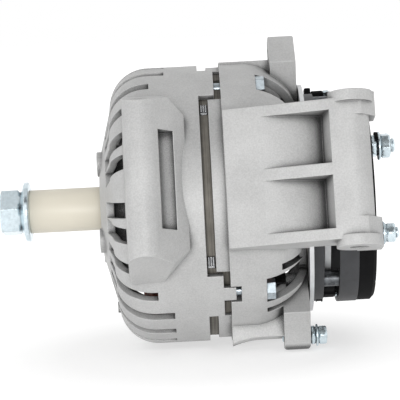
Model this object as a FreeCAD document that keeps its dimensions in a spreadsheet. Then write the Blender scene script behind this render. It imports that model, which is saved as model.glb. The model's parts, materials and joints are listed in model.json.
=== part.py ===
import FreeCAD, Part
import os
import re

import Sketcher
from FreeCAD import Placement, Rotation, Vector

# Engine alternator with its mounting side towards -Y and its shaft along X.
# The origin lies on the axis of the front mount bore, level with the shaft.
# The pulley end points to -X, +Z is up, and every size is in millimetres.
# Angles about the shaft count from the mounting side (-Y) towards +Z.

SIZES = {
    # Mounting interface
    "mount_offset": 89.0,
    "mount_spacing": 113.5,
    "barrel_radius": 9.5,
    "barrel_half": 42.0,
    "mount_bore_radius": 5.25,
    "front_bore_depth": 60.0,
    # Drive-end bracket, measured rearwards from its hub face
    "hub_projection": 26.3,
    "shell_radius": 79.5,
    "shell_wall": 4.0,
    "hub_flat_radius": 29.0,
    "cone_depth": 7.5,
    "shoulder_radius": 22.0,
    "bell_depth": 58.4,
    "stator_overlap": 15.9,
    "hub_boss_radius": 36.0,
    "hub_lip": 2.5,
    "lip_bore_radius": 13.5,
    "slot_width": 6.0,
    "slot_inner_radius": 45.0,
    "slot_pitch": 12.0,
    "mount_slot_width": 8.6,
    "mount_slot_angle": 10.4,
    "mount_slot_pitch": 11.0,
    "slot_short_end": 15.8,
    "slot_middle_end": 31.0,
    "slot_long_end": 39.5,
    "web_root_half": 52.0,
    "web_reach": 23.5,
    "web_flank_angle": 41.5,
    "web_corner_start": 34.0,
    "web_corner_level": 36.0,
    "web_corner_angle": 37.0,
    "web_corner_sweep": 26.0,
    "web_pocket_half": 27.0,
    "web_pocket_start": 9.4,
    "web_pocket_width": 7.9,
    "web_pocket_floor": 80.0,
    # Bolted joint between the brackets
    "bolt_angle": 50.5,
    "bolt_circle": 74.0,
    "bolt_radius": 3.0,
    "bolt_head_flats": 10.0,
    "bolt_head_height": 5.0,
    "bolt_grip_depth": 24.0,
    "front_boss_radius": 5.0,
    "front_boss_start": 33.0,
    "lug_reach": 8.7,
    "lug_sweep": 22.0,
    "joint_gap": 3.8,
    "tongue_angle": -48.6,
    "tongue_sweep": 6.6,
    "tongue_reach": 6.7,
    "tongue_thickness": 2.2,
    "tongue_clearance": 3.0,
    "tongue_notch_radius": 69.0,
    # Stator
    "stator_radius": 76.4,
    "stator_bore_radius": 55.0,
    "stator_length": 34.0,
    "stator_slots": 36.0,
    "stator_slot_width": 3.6,
    "stator_slot_radius": 66.5,
    "stator_notch_radius": 6.3,
    "conductor_clearance": 0.3,
    "end_turn_inner": 56.5,
    "end_turn_outer": 67.5,
    "front_end_turn": 20.0,
    "rear_end_turn": 18.0,
    # Rear bracket, measured rearwards from its pilot ring
    "pilot_gap": 5.1,
    "pilot_radius": 78.0,
    "pilot_length": 7.4,
    "rear_radius": 80.0,
    "rear_depth": 51.0,
    "rear_shoulder_start": 22.0,
    "rear_face_radius": 54.0,
    "rear_shoulder_radius": 33.0,
    "rear_hub_radius": 24.0,
    "rear_hub_length": 14.5,
    "rear_lip": 2.0,
    "rear_lip_bore": 11.0,
    "rear_boss_radius": 6.0,
    "window_start": 27.2,
    "window_inner_radius": 49.0,
    "bolt_window_angle": 48.2,
    "bolt_window_width": 17.0,
    "slit_angle": 59.6,
    "slit_width": 3.9,
    "block_slit_angle": 38.5,
    "block_slit_width": 4.0,
    "block_slit_start": 36.0,
    "air_window_width": 11.0,
    "air_window_pitch": 16.0,
    # Rear mount block
    "block_half": 38.0,
    "block_ramp_rise": 17.0,
    "block_ramp_length": 60.4,
    "block_rear_reach": 9.2,
    "arm_inner_offset": 70.0,
    "wedge_start": 28.0,
    "wedge_end": 65.0,
    "wedge_floor": 78.0,
    "wedge_floor_curve": 60.0,
    "wedge_draft": 4.0,
    "wedge_rib": 6.6,
    "wedge_edge": 6.0,
    "collar_radius": 12.0,
    "collar_height": 6.0,
    "lump_reach": 13.2,
    "lump_height": 15.6,
    "upper_lump_height": 13.4,
    "lump_offset": 83.0,
    "lump_radius": 9.0,
    # Side lugs of the rear bracket
    "side_lug_start": 36.3,
    "side_lug_width": 14.7,
    "side_lug_offset": 20.0,
    "side_lug_height": 81.5,
    "side_lug_radius": 10.0,
    "lower_lug_radius": 7.6,
    "lug_rounding": 2.0,
    "side_lug_flank": 38.7,
    "side_lug_root_angle": 61.0,
    "side_lug_back_flank": 15.0,
    "side_lug_root": 5.9,
    "side_lug_hole_radius": 3.2,
    "side_lug_floor": 30.0,
    "rib_inner": 10.0,
    "rib_outer": 28.0,
    "rib_height": 76.4,
    "lower_rib_height": 81.8,
    "lower_rib_rim": 84.8,
    "lower_rib_blend": 24.0,
    "lower_rib_curve": 50.0,
    # Bearings
    "front_bearing_bore": 8.5,
    "front_bearing_radius": 23.5,
    "front_bearing_width": 14.0,
    "front_ball_circle": 16.0,
    "front_ball_radius": 4.3,
    "front_ball_count": 7.0,
    "rear_bearing_bore": 7.5,
    "rear_bearing_radius": 17.5,
    "rear_bearing_width": 11.0,
    "rear_ball_circle": 12.5,
    "rear_ball_radius": 3.1,
    "rear_ball_count": 7.0,
    "race_thickness": 3.8,
    "rear_race_thickness": 3.1,
    "ball_clearance": 0.06,
    "cage_half_thickness": 0.8,
    "cage_edge": 0.8,
    "seal_thickness": 1.0,
    "seal_inset": 0.4,
    "retainer_thickness": 2.5,
    "retainer_bore_radius": 16.5,
    "retainer_screw_circle": 31.0,
    "retainer_screw_radius": 2.5,
    "retainer_screw_head": 4.6,
    "retainer_screw_length": 12.0,
    "front_bump_radius": 7.0,
    "front_bump_height": 1.0,
    "cone_boss_circle": 58.0,
    "cone_boss_angle": -102.0,
    "cone_boss_radius": 3.2,
    "cone_boss_rise": 1.6,
    # Rotor
    "rotor_radius": 54.5,
    "rotor_length": 60.0,
    "rotor_start": 3.2,
    "pole_disc": 12.0,
    "claw_thickness": 9.0,
    "claw_tip_gap": 3.0,
    "claw_root_half": 17.0,
    "claw_tip_half": 7.0,
    "claw_count": 6.0,
    "claw_valley_radius": 35.0,
    "core_radius": 24.0,
    "coil_inner": 26.0,
    "coil_outer": 43.5,
    "bobbin_wall": 1.5,
    "pole_bore_radius": 10.0,
    "shaft_tail_radius": 6.4,
    "shaft_end": 120.0,
    "rear_seat_start": 66.0,
    "rear_seat_end": 95.0,
    "fan_sheet": 1.5,
    "fan_radius": 52.0,
    "fan_blade_height": 6.5,
    "fan_blade_thickness": 1.4,
    "fan_blade_inner": 26.0,
    "fan_blade_count": 11.0,
    "fan_blade_lean": 28.0,
    "fit_clearance": 0.03,
    # Pulley seat, as it is shipped
    "thread_radius": 7.9,
    "thread_end": -66.0,
    "sleeve_radius": 12.5,
    "sleeve_bore_radius": 8.75,
    "sleeve_front": -68.1,
    "collar_thickness": 2.0,
    "collar_outer_radius": 12.2,
    "nut_flange_radius": 17.25,
    "nut_flange_rim": 3.7,
    "nut_flare": 3.0,
    "nut_hex_flats": 24.0,
    "nut_hex_height": 10.3,
    "nut_recess": 2.0,
    # Slip rings and brushes
    "ring_hub_radius": 11.0,
    "ring_hub_start": 98.0,
    "ring_hub_length": 21.0,
    "slip_ring_radius": 13.5,
    "slip_ring_width": 8.0,
    "slip_ring_start": 99.0,
    "slip_ring_pitch": 11.0,
    "brush_width": 5.0,
    "brush_depth": 8.0,
    "brush_length": 16.0,
    "brush_gap": 0.05,
    "brush_slot_clearance": 0.15,
    "holder_half": 8.0,
    "holder_top": 17.0,
    "holder_bottom": 50.0,
    "holder_floor": 2.0,
    "holder_length": 28.5,
    "spring_radius": 2.2,
    "spring_wire": 0.6,
    # Rectifier, plates and covers
    "plate_radius": 65.5,
    "plate_thickness": 2.5,
    "plate_gap": 0.8,
    "plate_bore_radius": 26.0,
    "carrier_radius": 60.0,
    "carrier_inner_radius": 51.0,
    "carrier_thickness": 6.0,
    "carrier_slit": 1.0,
    "positive_radius": 50.0,
    "positive_thickness": 3.5,
    "holder_cutout_half": 10.0,
    "diode_radius": 6.0,
    "diode_length": 8.4,
    "positive_diode_circle": 34.0,
    "negative_diode_circle": 44.2,
    "diode_pitch": 54.0,
    "diode_projection": 0.5,
    "diode_first_angle": -45.0,
    "bush_radius": 3.5,
    "bush_circle": 45.0,
    "cover_gap": 8.7,
    "cover_radius": 60.8,
    "cover_wall": 2.4,
    "ring_length": 10.7,
    "cap_length": 9.9,
    "cap_inset": 0.4,
    "cap_chamfer": 1.9,
    "cap_spigot": 3.0,
    "vent_count": 16.0,
    "vent_width": 3.4,
    "vent_inner_radius": 30.0,
    "vent_outer_radius": 50.0,
    "cover_screw_circle": 55.0,
    "cover_screw_radius": 2.5,
    "cover_screw_head": 3.4,
    "cover_screw_head_height": 3.2,
    "cover_screw_depth": 8.0,
    "cover_screw_sink": 3.4,
    "cover_pillar_radius": 5.0,
    "cover_boss_radius": 4.4,
    "cover_boss_depth": 12.0,
    "spacer_radius": 4.4,
    "regulator_depth": 30.0,
    "regulator_top": 18.0,
    "regulator_bottom": 42.0,
    "regulator_length": 9.0,
    # Terminals and small fasteners
    "stud_offset": 38.0,
    "stud_height": 21.4,
    "stud_radius": 4.0,
    "stud_head_radius": 7.0,
    "stud_head_height": 1.9,
    "stud_bush_radius": 8.5,
    "stud_tip": 140.8,
    "stud_nut_flats": 13.0,
    "stud_jam_height": 4.5,
    "stud_nut_height": 5.6,
    "washer_thickness": 1.4,
    "washer_radius": 8.0,
    "bolt_m6_flats": 10.0,
    "bolt_m6_height": 4.6,
    "bolt_m6_radius": 3.0,
    "small_washer_radius": 6.2,
    "small_washer_thickness": 1.2,
    "ground_thread_depth": 9.0,
    "lug_stud_reach": 9.6,
    "lug_jam_height": 3.0,
    "stack_gap": 0.2,
    "lead_radius": 1.5,
    "lead_circle": 56.5,
    "clearance": 0.3,
}

DERIVED = {
    "hub_face_x": "-hub_projection",
    "barrel_depth": "hub_projection",
    "rim_x": "bell_depth - hub_projection",
    "stator_x": "rim_x - stator_overlap",
    "stator_end_x": "stator_x + stator_length",
    "pilot_x": "rim_x + pilot_gap",
    "rear_front_x": "pilot_x + pilot_length",
    "rear_plane_x": "pilot_x + rear_depth",
    "shell_bore": "shell_radius - shell_wall",
    "web_root_offset": "sqrt(shell_radius * shell_radius - web_root_half * web_root_half)",
    "web_top_x": "hub_projection + barrel_radius * cos(web_flank_angle)",
    "web_top_y": "mount_offset + barrel_radius * sin(web_flank_angle)",
    "web_low_x": "hub_projection + web_reach",
    "web_low_y": "web_top_y - (web_low_x - web_top_x) / tan(web_flank_angle)",
    "stator_seat": "bell_depth - stator_overlap",
    "front_bearing_x": "hub_face_x + hub_lip",
    "front_bearing_end_x": "front_bearing_x + front_bearing_width",
    "boss_depth": "hub_lip + front_bearing_width",
    "rear_bearing_end_x": "rear_plane_x - rear_lip",
    "rear_bearing_x": "rear_bearing_end_x - rear_bearing_width",
    "bolt_head_x": "pilot_x + window_start",
    "bolt_tip_x": "rim_x + lug_reach - bolt_grip_depth",
    "rear_mount_depth": "mount_spacing - pilot_x",
    "ramp_end": "pilot_length + block_ramp_length",
    "ramp_top": "rear_radius + block_ramp_rise",
    "block_rear": "rear_mount_depth + block_rear_reach",
    "lump_rear": "rear_mount_depth + lump_reach",
    "lump_face_x": "pilot_x + lump_rear",
    "lump_centre_z": "barrel_half - lump_height / 2",
    "side_lug_x": "pilot_x + side_lug_start",
    "side_lug_rear_x": "side_lug_x + side_lug_width",
    "rotor_end_x": "rotor_start + rotor_length",
    "coil_start_x": "rotor_start + pole_disc",
    "coil_length": "rotor_length - 2 * pole_disc",
    "collar_x": "front_bearing_x - collar_thickness",
    "nut_rim_x": "sleeve_front - nut_flange_rim",
    "nut_flare_x": "nut_rim_x - nut_flare",
    "nut_front_x": "nut_flare_x - nut_hex_height",
    "shaft_start_x": "nut_front_x + nut_recess",
    "plate_x": "rear_plane_x + plate_gap",
    "plate_end_x": "plate_x + plate_thickness",
    "carrier_end_x": "plate_end_x + carrier_thickness",
    "positive_x": "carrier_end_x + carrier_slit",
    "positive_end_x": "positive_x + positive_thickness",
    "cover_x": "carrier_end_x + cover_gap",
    "cap_x": "cover_x + ring_length",
    "cap_end_x": "cap_x + cap_length",
    "brush_contact_z": "slip_ring_radius + brush_gap",
    "brush_low_z": "brush_contact_z + brush_length",
    "holder_floor_z": "holder_bottom - holder_floor",
    "jam_end_x": "cap_end_x + stud_jam_height",
    "stud_nut_x": "jam_end_x + washer_thickness",
}

doc = FreeCAD.newDocument("engine_alternator")
sheet = doc.addObject("Spreadsheet::Sheet", "sizes")
for row, (alias, amount) in enumerate({**SIZES, **DERIVED}.items(), start=1):
    sheet.set("A%d" % row, alias)
    sheet.set("B%d" % row, str(amount) if alias in SIZES else "=" + amount)
    sheet.setAlias("B%d" % row, alias)
doc.recompute()

TINY = 1e-6
BOLT_ANGLES = ("bolt_angle", "-bolt_angle", "180 - bolt_angle", "180 + bolt_angle")
SCREW_ANGLES = (45, 135, 225, 315)
COVER_ANGLES = (66, 172, 294)
LEAD_ANGLES = (148, 196, 212)
BUSH_ANGLES = (-15, 90, 195)
HALF_TURN = Rotation(Vector(1, 0, 0), 180)
ALONG = {"x": Rotation(Vector(0, 1, 0), 90), "z": Rotation()}
NODES = {}
VOLUMES = {}


def bound(formula):
    """Write a formula on the sheet's names as an expression of the document."""
    def named(match):
        word = match.group(0)
        return "sizes." + word if word in SIZES or word in DERIVED else word
    return re.sub(r"[a-z][a-z0-9_]*", named, str(formula))


def number(formula):
    """Give the present value of a formula on the sheet's names."""
    return float(sheet.evalExpression(bound(formula)))


def bind(thing, path, formula):
    """Tie one property of an object to a formula on the sheet."""
    thing.setExpression(path, bound(formula))


def keep(name, thing):
    """Record an object as the sub-part that a node is written from."""
    if thing.TypeId == "PartDesign::Body":
        thing.Tip.Refine = True
    thing.Label = name
    NODES[name] = thing
    return thing


# Bodies, sketches and their features


def new_body(label, station):
    """Start a body whose own frame is u rearwards, v to the mounting side and w down."""
    body = doc.addObject("PartDesign::Body", label + "_body")
    body.Label = label
    body.Placement = Placement(Vector(number(station), number("mount_offset"), 0), HALF_TURN)
    bind(body, "Placement.Base.x", station)
    bind(body, "Placement.Base.y", "mount_offset")
    return body


def new_sketch(body, plane, turn=0.0, lift="0"):
    """Attach a sketch to one of the body's own planes, turned about the u axis."""
    sketch = body.newObject("Sketcher::SketchObject", body.Name + "_sketch")
    support = next(item for item in body.Origin.OriginFeatures if item.Role == plane)
    sketch.AttachmentSupport = (support, [""])
    sketch.MapMode = "FlatFace"
    sketch.AttachmentOffset = Placement(Vector(0, 0, number(lift)), Rotation(Vector(1, 0, 0), -turn))
    if lift != "0":
        bind(sketch, "AttachmentOffset.Base.z", lift)
    return sketch


def fix_point(sketch, geometry, point, across, up):
    """Hold one sketch point at two formulas measured from the sketch's origin."""
    for kind, axis, formula in (("DistanceX", -2, across), ("DistanceY", -1, up)):
        place = number(formula)
        if abs(place) < TINY:
            sketch.addConstraint(Sketcher.Constraint("PointOnObject", geometry, point, axis))
            continue
        ends = (-1, 1, geometry, point) if place > 0 else (geometry, point, -1, 1)
        index = sketch.addConstraint(Sketcher.Constraint(kind, *ends, abs(place)))
        bind(sketch, "Constraints[%d]" % index, formula if place > 0 else "-(%s)" % formula)


def arc_between(start, end, radius):
    """Make the short arc of a signed radius; positive turns left on the way."""
    chord = end.sub(start)
    half = chord.Length / 2
    rise = max(radius * radius - half * half, 0) ** 0.5
    normal = Vector(-chord.y, chord.x, 0).normalize()
    centre = (start + end) * 0.5 + normal * (rise if radius > 0 else -rise)
    side = start if radius > 0 else end
    other = end if radius > 0 else start
    axis = Vector(1, 0, 0)
    angles = [(p - centre).getAngle(axis) * (1 if p.y >= centre.y else -1) for p in (side, other)]
    circle = Part.Circle(centre, Vector(0, 0, 1), abs(radius))
    return Part.ArcOfCircle(circle, angles[0], angles[1])


def outline(sketch, points):
    """Draw one closed loop; a third entry of a point is the arc radius leading to it."""
    places = [Vector(number(p[0]), number(p[1]), 0) for p in points]
    first = sketch.GeometryCount
    count = len(points)
    starts = []
    for step in range(count):
        following = (step + 1) % count
        radius = points[following][2] if len(points[following]) > 2 else None
        if radius is None:
            sketch.addGeometry(Part.LineSegment(places[step], places[following]))
            starts.append(1)
        else:
            amount = number(radius)
            sketch.addGeometry(arc_between(places[step], places[following], amount))
            starts.append(1 if amount > 0 else 2)
    for step in range(count):
        following = (step + 1) % count
        ends = (first + step, 3 - starts[step], first + following, starts[following])
        sketch.addConstraint(Sketcher.Constraint("Coincident", *ends))
    for step, point in enumerate(points):
        fix_point(sketch, first + step, starts[step], point[0], point[1])
        if len(point) > 2:
            arc = first + (step - 1) % count
            index = sketch.addConstraint(Sketcher.Constraint("Radius", arc, abs(number(point[2]))))
            bind(sketch, "Constraints[%d]" % index, "abs(%s)" % point[2])


def ring(sketch, across, up, radius):
    """Draw one circle of a bound radius about a bound centre."""
    circle = Part.Circle(Vector(number(across), number(up), 0), Vector(0, 0, 1), number(radius))
    index = sketch.addGeometry(circle)
    fix_point(sketch, index, 3, across, up)
    held = sketch.addConstraint(Sketcher.Constraint("Radius", index, number(radius)))
    bind(sketch, "Constraints[%d]" % held, radius)


def rectangle(sketch, left, low, right, high):
    """Draw a rectangle between four formulas."""
    outline(sketch, [(left, low), (right, low), (right, high), (left, high)])


def spin(body, sketch, kind, sweep=None):
    """Turn a profile about the u axis, adding with Revolution or cutting with Groove."""
    feature = body.newObject("PartDesign::" + kind, body.Name + "_" + kind)
    feature.Profile = sketch
    feature.ReferenceAxis = (sketch, ["H_Axis"])
    feature.Angle = 360.0
    if sweep:
        feature.Midplane = True
        bind(feature, "Angle", sweep)
    finish(body, feature, kind == "Groove")
    return feature


def extrude(body, sketch, kind, length, both=False, flip=False):
    """Carry a profile along its normal, adding with Pad or cutting with Pocket."""
    feature = body.newObject("PartDesign::" + kind, body.Name + "_" + kind)
    feature.Profile = sketch
    feature.SideType = "Symmetric" if both else "One side"
    feature.Reversed = flip
    bind(feature, "Length", length)
    finish(body, feature, kind == "Pocket")
    return feature


def finish(body, feature, removes):
    """Work a feature out and make sure that it really added or removed something."""
    feature.Refine = False
    body.Tip = feature
    doc.recompute([body])
    volume = body.Shape.Volume
    change = volume - VOLUMES.get(body.Name, 0.0)
    VOLUMES[body.Name] = volume
    if (change >= 0) if removes else (change <= 0):
        raise RuntimeError("%s changes nothing in %s" % (feature.Name, body.Label))


def repeat(body, feature, count, sweep):
    """Repeat a feature about the shaft; a full turn when the sweep is 360."""
    pattern = body.newObject("PartDesign::PolarPattern", body.Name + "_pattern")
    pattern.Originals = [feature]
    axis = next(item for item in body.Origin.OriginFeatures if item.Role == "X_Axis")
    pattern.Axis = (axis, [""])
    bind(pattern, "Angle", sweep)
    bind(pattern, "Occurrences", count)
    finish(body, pattern, feature.TypeId.split("::")[1] in ("Pocket", "Groove"))
    return pattern


def turned(name, station, *profiles):
    """Make a body of revolution from one or more profiles of (u, radius) points."""
    body = new_body(name, station)
    for profile in profiles:
        sketch = new_sketch(body, "XZ_Plane")
        outline(sketch, profile)
        spin(body, sketch, "Revolution")
    return body


def tube(name, station, inner, outer, length):
    """Make a plain ring about the shaft."""
    profile = [("0", inner), (length, inner), (length, outer), ("0", outer)]
    return turned(name, station, profile)


def radial_cut(body, turn, inner, outer, start, end, width, count=None, pitch="0"):
    """Cut a parallel-sided opening in the radial plane at an angle, repeated downwards."""
    sketch = new_sketch(body, "XY_Plane", turn=turn)
    rectangle(sketch, start, inner, end, outer)
    cut = extrude(body, sketch, "Pocket", width, both=True)
    if count:
        repeat(body, cut, str(count), "%s * %d" % (pitch, count - 1))


def polar_point(radius, angle):
    """Give v and w formulas of a point at a radius and an angle about the shaft."""
    return "(%s) * cos(%s)" % (radius, angle), "-(%s) * sin(%s)" % (radius, angle)


def axial_holes(body, places, radius, start, length):
    """Cut round holes along the shaft's direction."""
    sketch = new_sketch(body, "YZ_Plane", lift=start)
    for across, up in places:
        ring(sketch, across, up, radius)
    return extrude(body, sketch, "Pocket", length, flip=True)


def axial_bosses(body, places, radius, start, length):
    """Add round bosses along the shaft's direction."""
    sketch = new_sketch(body, "YZ_Plane", lift=start)
    for across, up in places:
        ring(sketch, across, up, radius)
    return extrude(body, sketch, "Pad", length)


def spread(radius, angles):
    """List the v and w formulas of points at one radius and several angles."""
    return [polar_point(radius, str(angle)) for angle in angles]


def sectors(body, angles, sweep, inner, outer, start, length, kind):
    """Add or cut ring sectors of one sweep about several angles."""
    sketch = new_sketch(body, "YZ_Plane", lift=start)
    for angle in angles:
        low = "%s - (%s) / 2" % (angle, sweep)
        high = "%s + (%s) / 2" % (angle, sweep)
        a, b = polar_point(inner, low), polar_point(inner, high)
        c, d = polar_point(outer, high), polar_point(outer, low)
        outline(sketch, [a, b + ("-(%s)" % inner,), c, d + (outer,)])
    return extrude(body, sketch, kind, length, flip=kind == "Pocket")


# Primitives and booleans in the part's own frame


def place(thing, x, y, z, rotation):
    """Put a primitive at three formulas with a fixed rotation."""
    thing.Placement = Placement(Vector(number(x), number(y), number(z)), rotation)
    bind(thing, "Placement.Base.x", x)
    bind(thing, "Placement.Base.y", y)
    bind(thing, "Placement.Base.z", z)
    return thing


def rod(radius, length, x, y, z, along="x"):
    """Make a cylinder that starts at a point."""
    cylinder = doc.addObject("Part::Cylinder", "rod")
    bind(cylinder, "Radius", radius)
    bind(cylinder, "Height", length)
    return place(cylinder, x, y, z, ALONG[along])


def hexagon(flats, length, x, y, z, turn=0.0):
    """Make a hexagonal prism along X, turned about its own axis."""
    prism = doc.addObject("Part::Prism", "hexagon")
    prism.Polygon = 6
    bind(prism, "Circumradius", "(%s) / sqrt(3)" % flats)
    bind(prism, "Height", length)
    return place(prism, x, y, z, Rotation(Vector(1, 0, 0), turn) * ALONG["x"])


def block(x, y, z, wide, deep, high):
    """Make a box from its lowest corner and three lengths."""
    box = doc.addObject("Part::Box", "block")
    bind(box, "Length", wide)
    bind(box, "Width", deep)
    bind(box, "Height", high)
    return place(box, x, y, z, Rotation())


def joined(pieces):
    """Fuse overlapping primitives into one solid."""
    fusion = doc.addObject("Part::MultiFuse", "joined")
    fusion.Shapes = pieces
    return fusion


def drilled(base, tool):
    """Cut one solid from another."""
    result = doc.addObject("Part::Cut", "drilled")
    result.Base = base
    result.Tool = tool
    return result


def group(name, pieces):
    """Keep like pieces together as separate solids in one node."""
    compound = doc.addObject("Part::Compound", name + "_group")
    compound.Links = pieces
    return keep(name, compound)


def around(radius, angle):
    """Give y and z formulas of a point about the shaft, in the part's own frame."""
    return "mount_offset - (%s) * cos(%s)" % (radius, angle), "(%s) * sin(%s)" % (radius, angle)


# Drive-end bracket: slotted bell with a bearing hub and the front mount barrel


def drive_end_bracket():
    body = new_body("drive_end_bracket", "hub_face_x")
    blank = new_sketch(body, "XZ_Plane")
    outline(blank, [
        ("0", "0"), ("bell_depth", "0"), ("bell_depth", "shell_radius"),
        ("cone_depth + shoulder_radius", "shell_radius"),
        ("cone_depth", "shell_radius - shoulder_radius", "shoulder_radius"),
        ("0", "hub_flat_radius"),
    ])
    spin(body, blank, "Revolution")
    add_front_slots(body)
    add_front_mount(body)
    cavity = new_sketch(body, "XZ_Plane")
    outline(cavity, [
        ("hub_lip + front_bearing_width", "0"), ("bell_depth + 1", "0"),
        ("bell_depth + 1", "stator_radius + fit_clearance"),
        ("stator_seat", "stator_radius + fit_clearance"),
        ("stator_seat", "shell_bore"), ("cone_depth + shoulder_radius", "shell_bore"),
        ("cone_depth + shell_wall", "shell_radius - shoulder_radius", "shoulder_radius - shell_wall"),
        ("shell_wall * 1.6", "hub_boss_radius"), ("boss_depth", "hub_boss_radius"),
    ])
    spin(body, cavity, "Groove")
    seat = new_sketch(body, "XZ_Plane")
    outline(seat, [
        ("-1", "0"), ("boss_depth + 1", "0"), ("boss_depth + 1", "front_bearing_radius + fit_clearance"),
        ("hub_lip", "front_bearing_radius + fit_clearance"), ("hub_lip", "lip_bore_radius"),
        ("-1", "lip_bore_radius"),
    ])
    spin(body, seat, "Groove")
    add_front_bolting(body)
    corners = spread("retainer_screw_circle", SCREW_ANGLES)
    axial_bosses(body, corners, "front_bump_radius", "-front_bump_height", "front_bump_height + hub_lip")
    axial_bosses(body, spread("cone_boss_circle", ["cone_boss_angle"]), "cone_boss_radius",
                 "cone_depth - cone_boss_rise", "cone_boss_rise + shell_wall / 2")
    axial_holes(body, corners, "retainer_screw_radius",
                "boss_depth - retainer_screw_length + retainer_thickness", "retainer_screw_length")
    return keep("drive_end_bracket", body)


def add_front_slots(body):
    """Cut the air slots; those by the mount and the bolt bosses stop short."""
    pitch = number("slot_pitch")
    for step in (1, -1):
        for angle in ("mount_slot_angle", "mount_slot_angle + mount_slot_pitch"):
            radial_cut(body, step * number(angle), "slot_inner_radius", "shell_radius + 2", "-2",
                       "slot_short_end", "mount_slot_width")
    runs = [
        ("slot_short_end", 3, 1), ("slot_short_end", -3, 1),
        ("slot_middle_end", 4, 1), ("slot_middle_end", -4, 1),
        ("slot_middle_end", 11, 1), ("slot_middle_end", -11, 1),
        ("slot_long_end", 10, 6), ("slot_long_end", -5, 6), ("slot_long_end", 18, 7),
    ]
    for end, first, count in runs:
        radial_cut(body, first * pitch, "slot_inner_radius", "shell_radius + 2", "-2", end,
                   "slot_width", count if count > 1 else None, "slot_pitch")


def add_front_mount(body):
    """Add the upright barrel, its web with sloping ends and the pocket in its flank."""
    barrel = new_sketch(body, "XY_Plane")
    ring(barrel, "barrel_depth", "mount_offset", "barrel_radius")
    extrude(body, barrel, "Pad", "2 * web_root_half", both=True)
    web = new_sketch(body, "XY_Plane")
    outline(web, [
        ("barrel_depth - barrel_radius", "mount_offset"),
        ("barrel_depth - barrel_radius", "shell_radius - shoulder_radius"),
        ("web_low_x", "shell_radius - shoulder_radius"),
        ("web_low_x", "web_low_y"), ("web_top_x", "web_top_y"),
    ])
    extrude(body, web, "Pad", "2 * web_root_half", both=True)
    for sign in (1, -1):
        ends = new_sketch(body, "YZ_Plane", lift="barrel_depth - barrel_radius - 1")
        outline(ends, [
            ("web_root_offset", "%d * web_root_half" % sign),
            ("mount_offset + barrel_radius + 1", "%d * barrel_half" % sign),
            ("mount_offset + barrel_radius + 1", "%d * (web_root_half + 1)" % sign),
            ("web_root_offset", "%d * (web_root_half + 1)" % sign),
        ])
        extrude(body, ends, "Pocket", "web_reach + barrel_radius + 2", flip=True)
        corner = new_sketch(body, "XZ_Plane")
        outline(corner, [
            ("web_corner_start", "%d * (web_root_half + 1)" % sign),
            ("web_low_x + 1", "%d * web_corner_level" % sign),
            ("web_low_x + 1", "%d * (web_root_half + 1)" % sign),
        ])
        extrude(body, corner, "Pocket", "mount_offset + barrel_radius")
    sectors(body, ["web_corner_angle", "-web_corner_angle"], "web_corner_sweep", "shell_bore - 2",
            "shell_radius", "web_corner_start - 1", "bell_depth - web_corner_start + 1", "Pad")
    pocket = new_sketch(body, "XY_Plane")
    rectangle(pocket, "barrel_depth + web_pocket_start", "web_pocket_floor",
              "barrel_depth + web_pocket_start + web_pocket_width", "mount_offset + barrel_radius")
    extrude(body, pocket, "Pocket", "2 * web_pocket_half", both=True)
    bore = new_sketch(body, "XY_Plane", lift="-barrel_half - 8")
    ring(bore, "barrel_depth", "mount_offset", "mount_bore_radius")
    extrude(body, bore, "Pocket", "front_bore_depth + 8", flip=True)


def add_front_bolting(body):
    """Add the four tapped bolt bosses, their rim lugs and the locating tongue."""
    sectors(body, BOLT_ANGLES, "lug_sweep", "stator_radius + fit_clearance", "shell_radius",
            "bell_depth - 1", "lug_reach + 1", "Pad")
    sectors(body, ["tongue_angle"], "tongue_sweep", "shell_radius - tongue_thickness", "shell_radius",
            "bell_depth + lug_reach - 1", "tongue_reach + 1", "Pad")
    places = spread("bolt_circle", BOLT_ANGLES)
    axial_bosses(body, places, "front_boss_radius", "front_boss_start",
                 "bell_depth + lug_reach - front_boss_start")
    axial_holes(body, places, "bolt_radius + fit_clearance",
                "bell_depth + lug_reach - bolt_grip_depth - 2", "bolt_grip_depth + 4")


# Rear bracket: windowed bell with the rear mount block, the side lugs and the bearing hub


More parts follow.
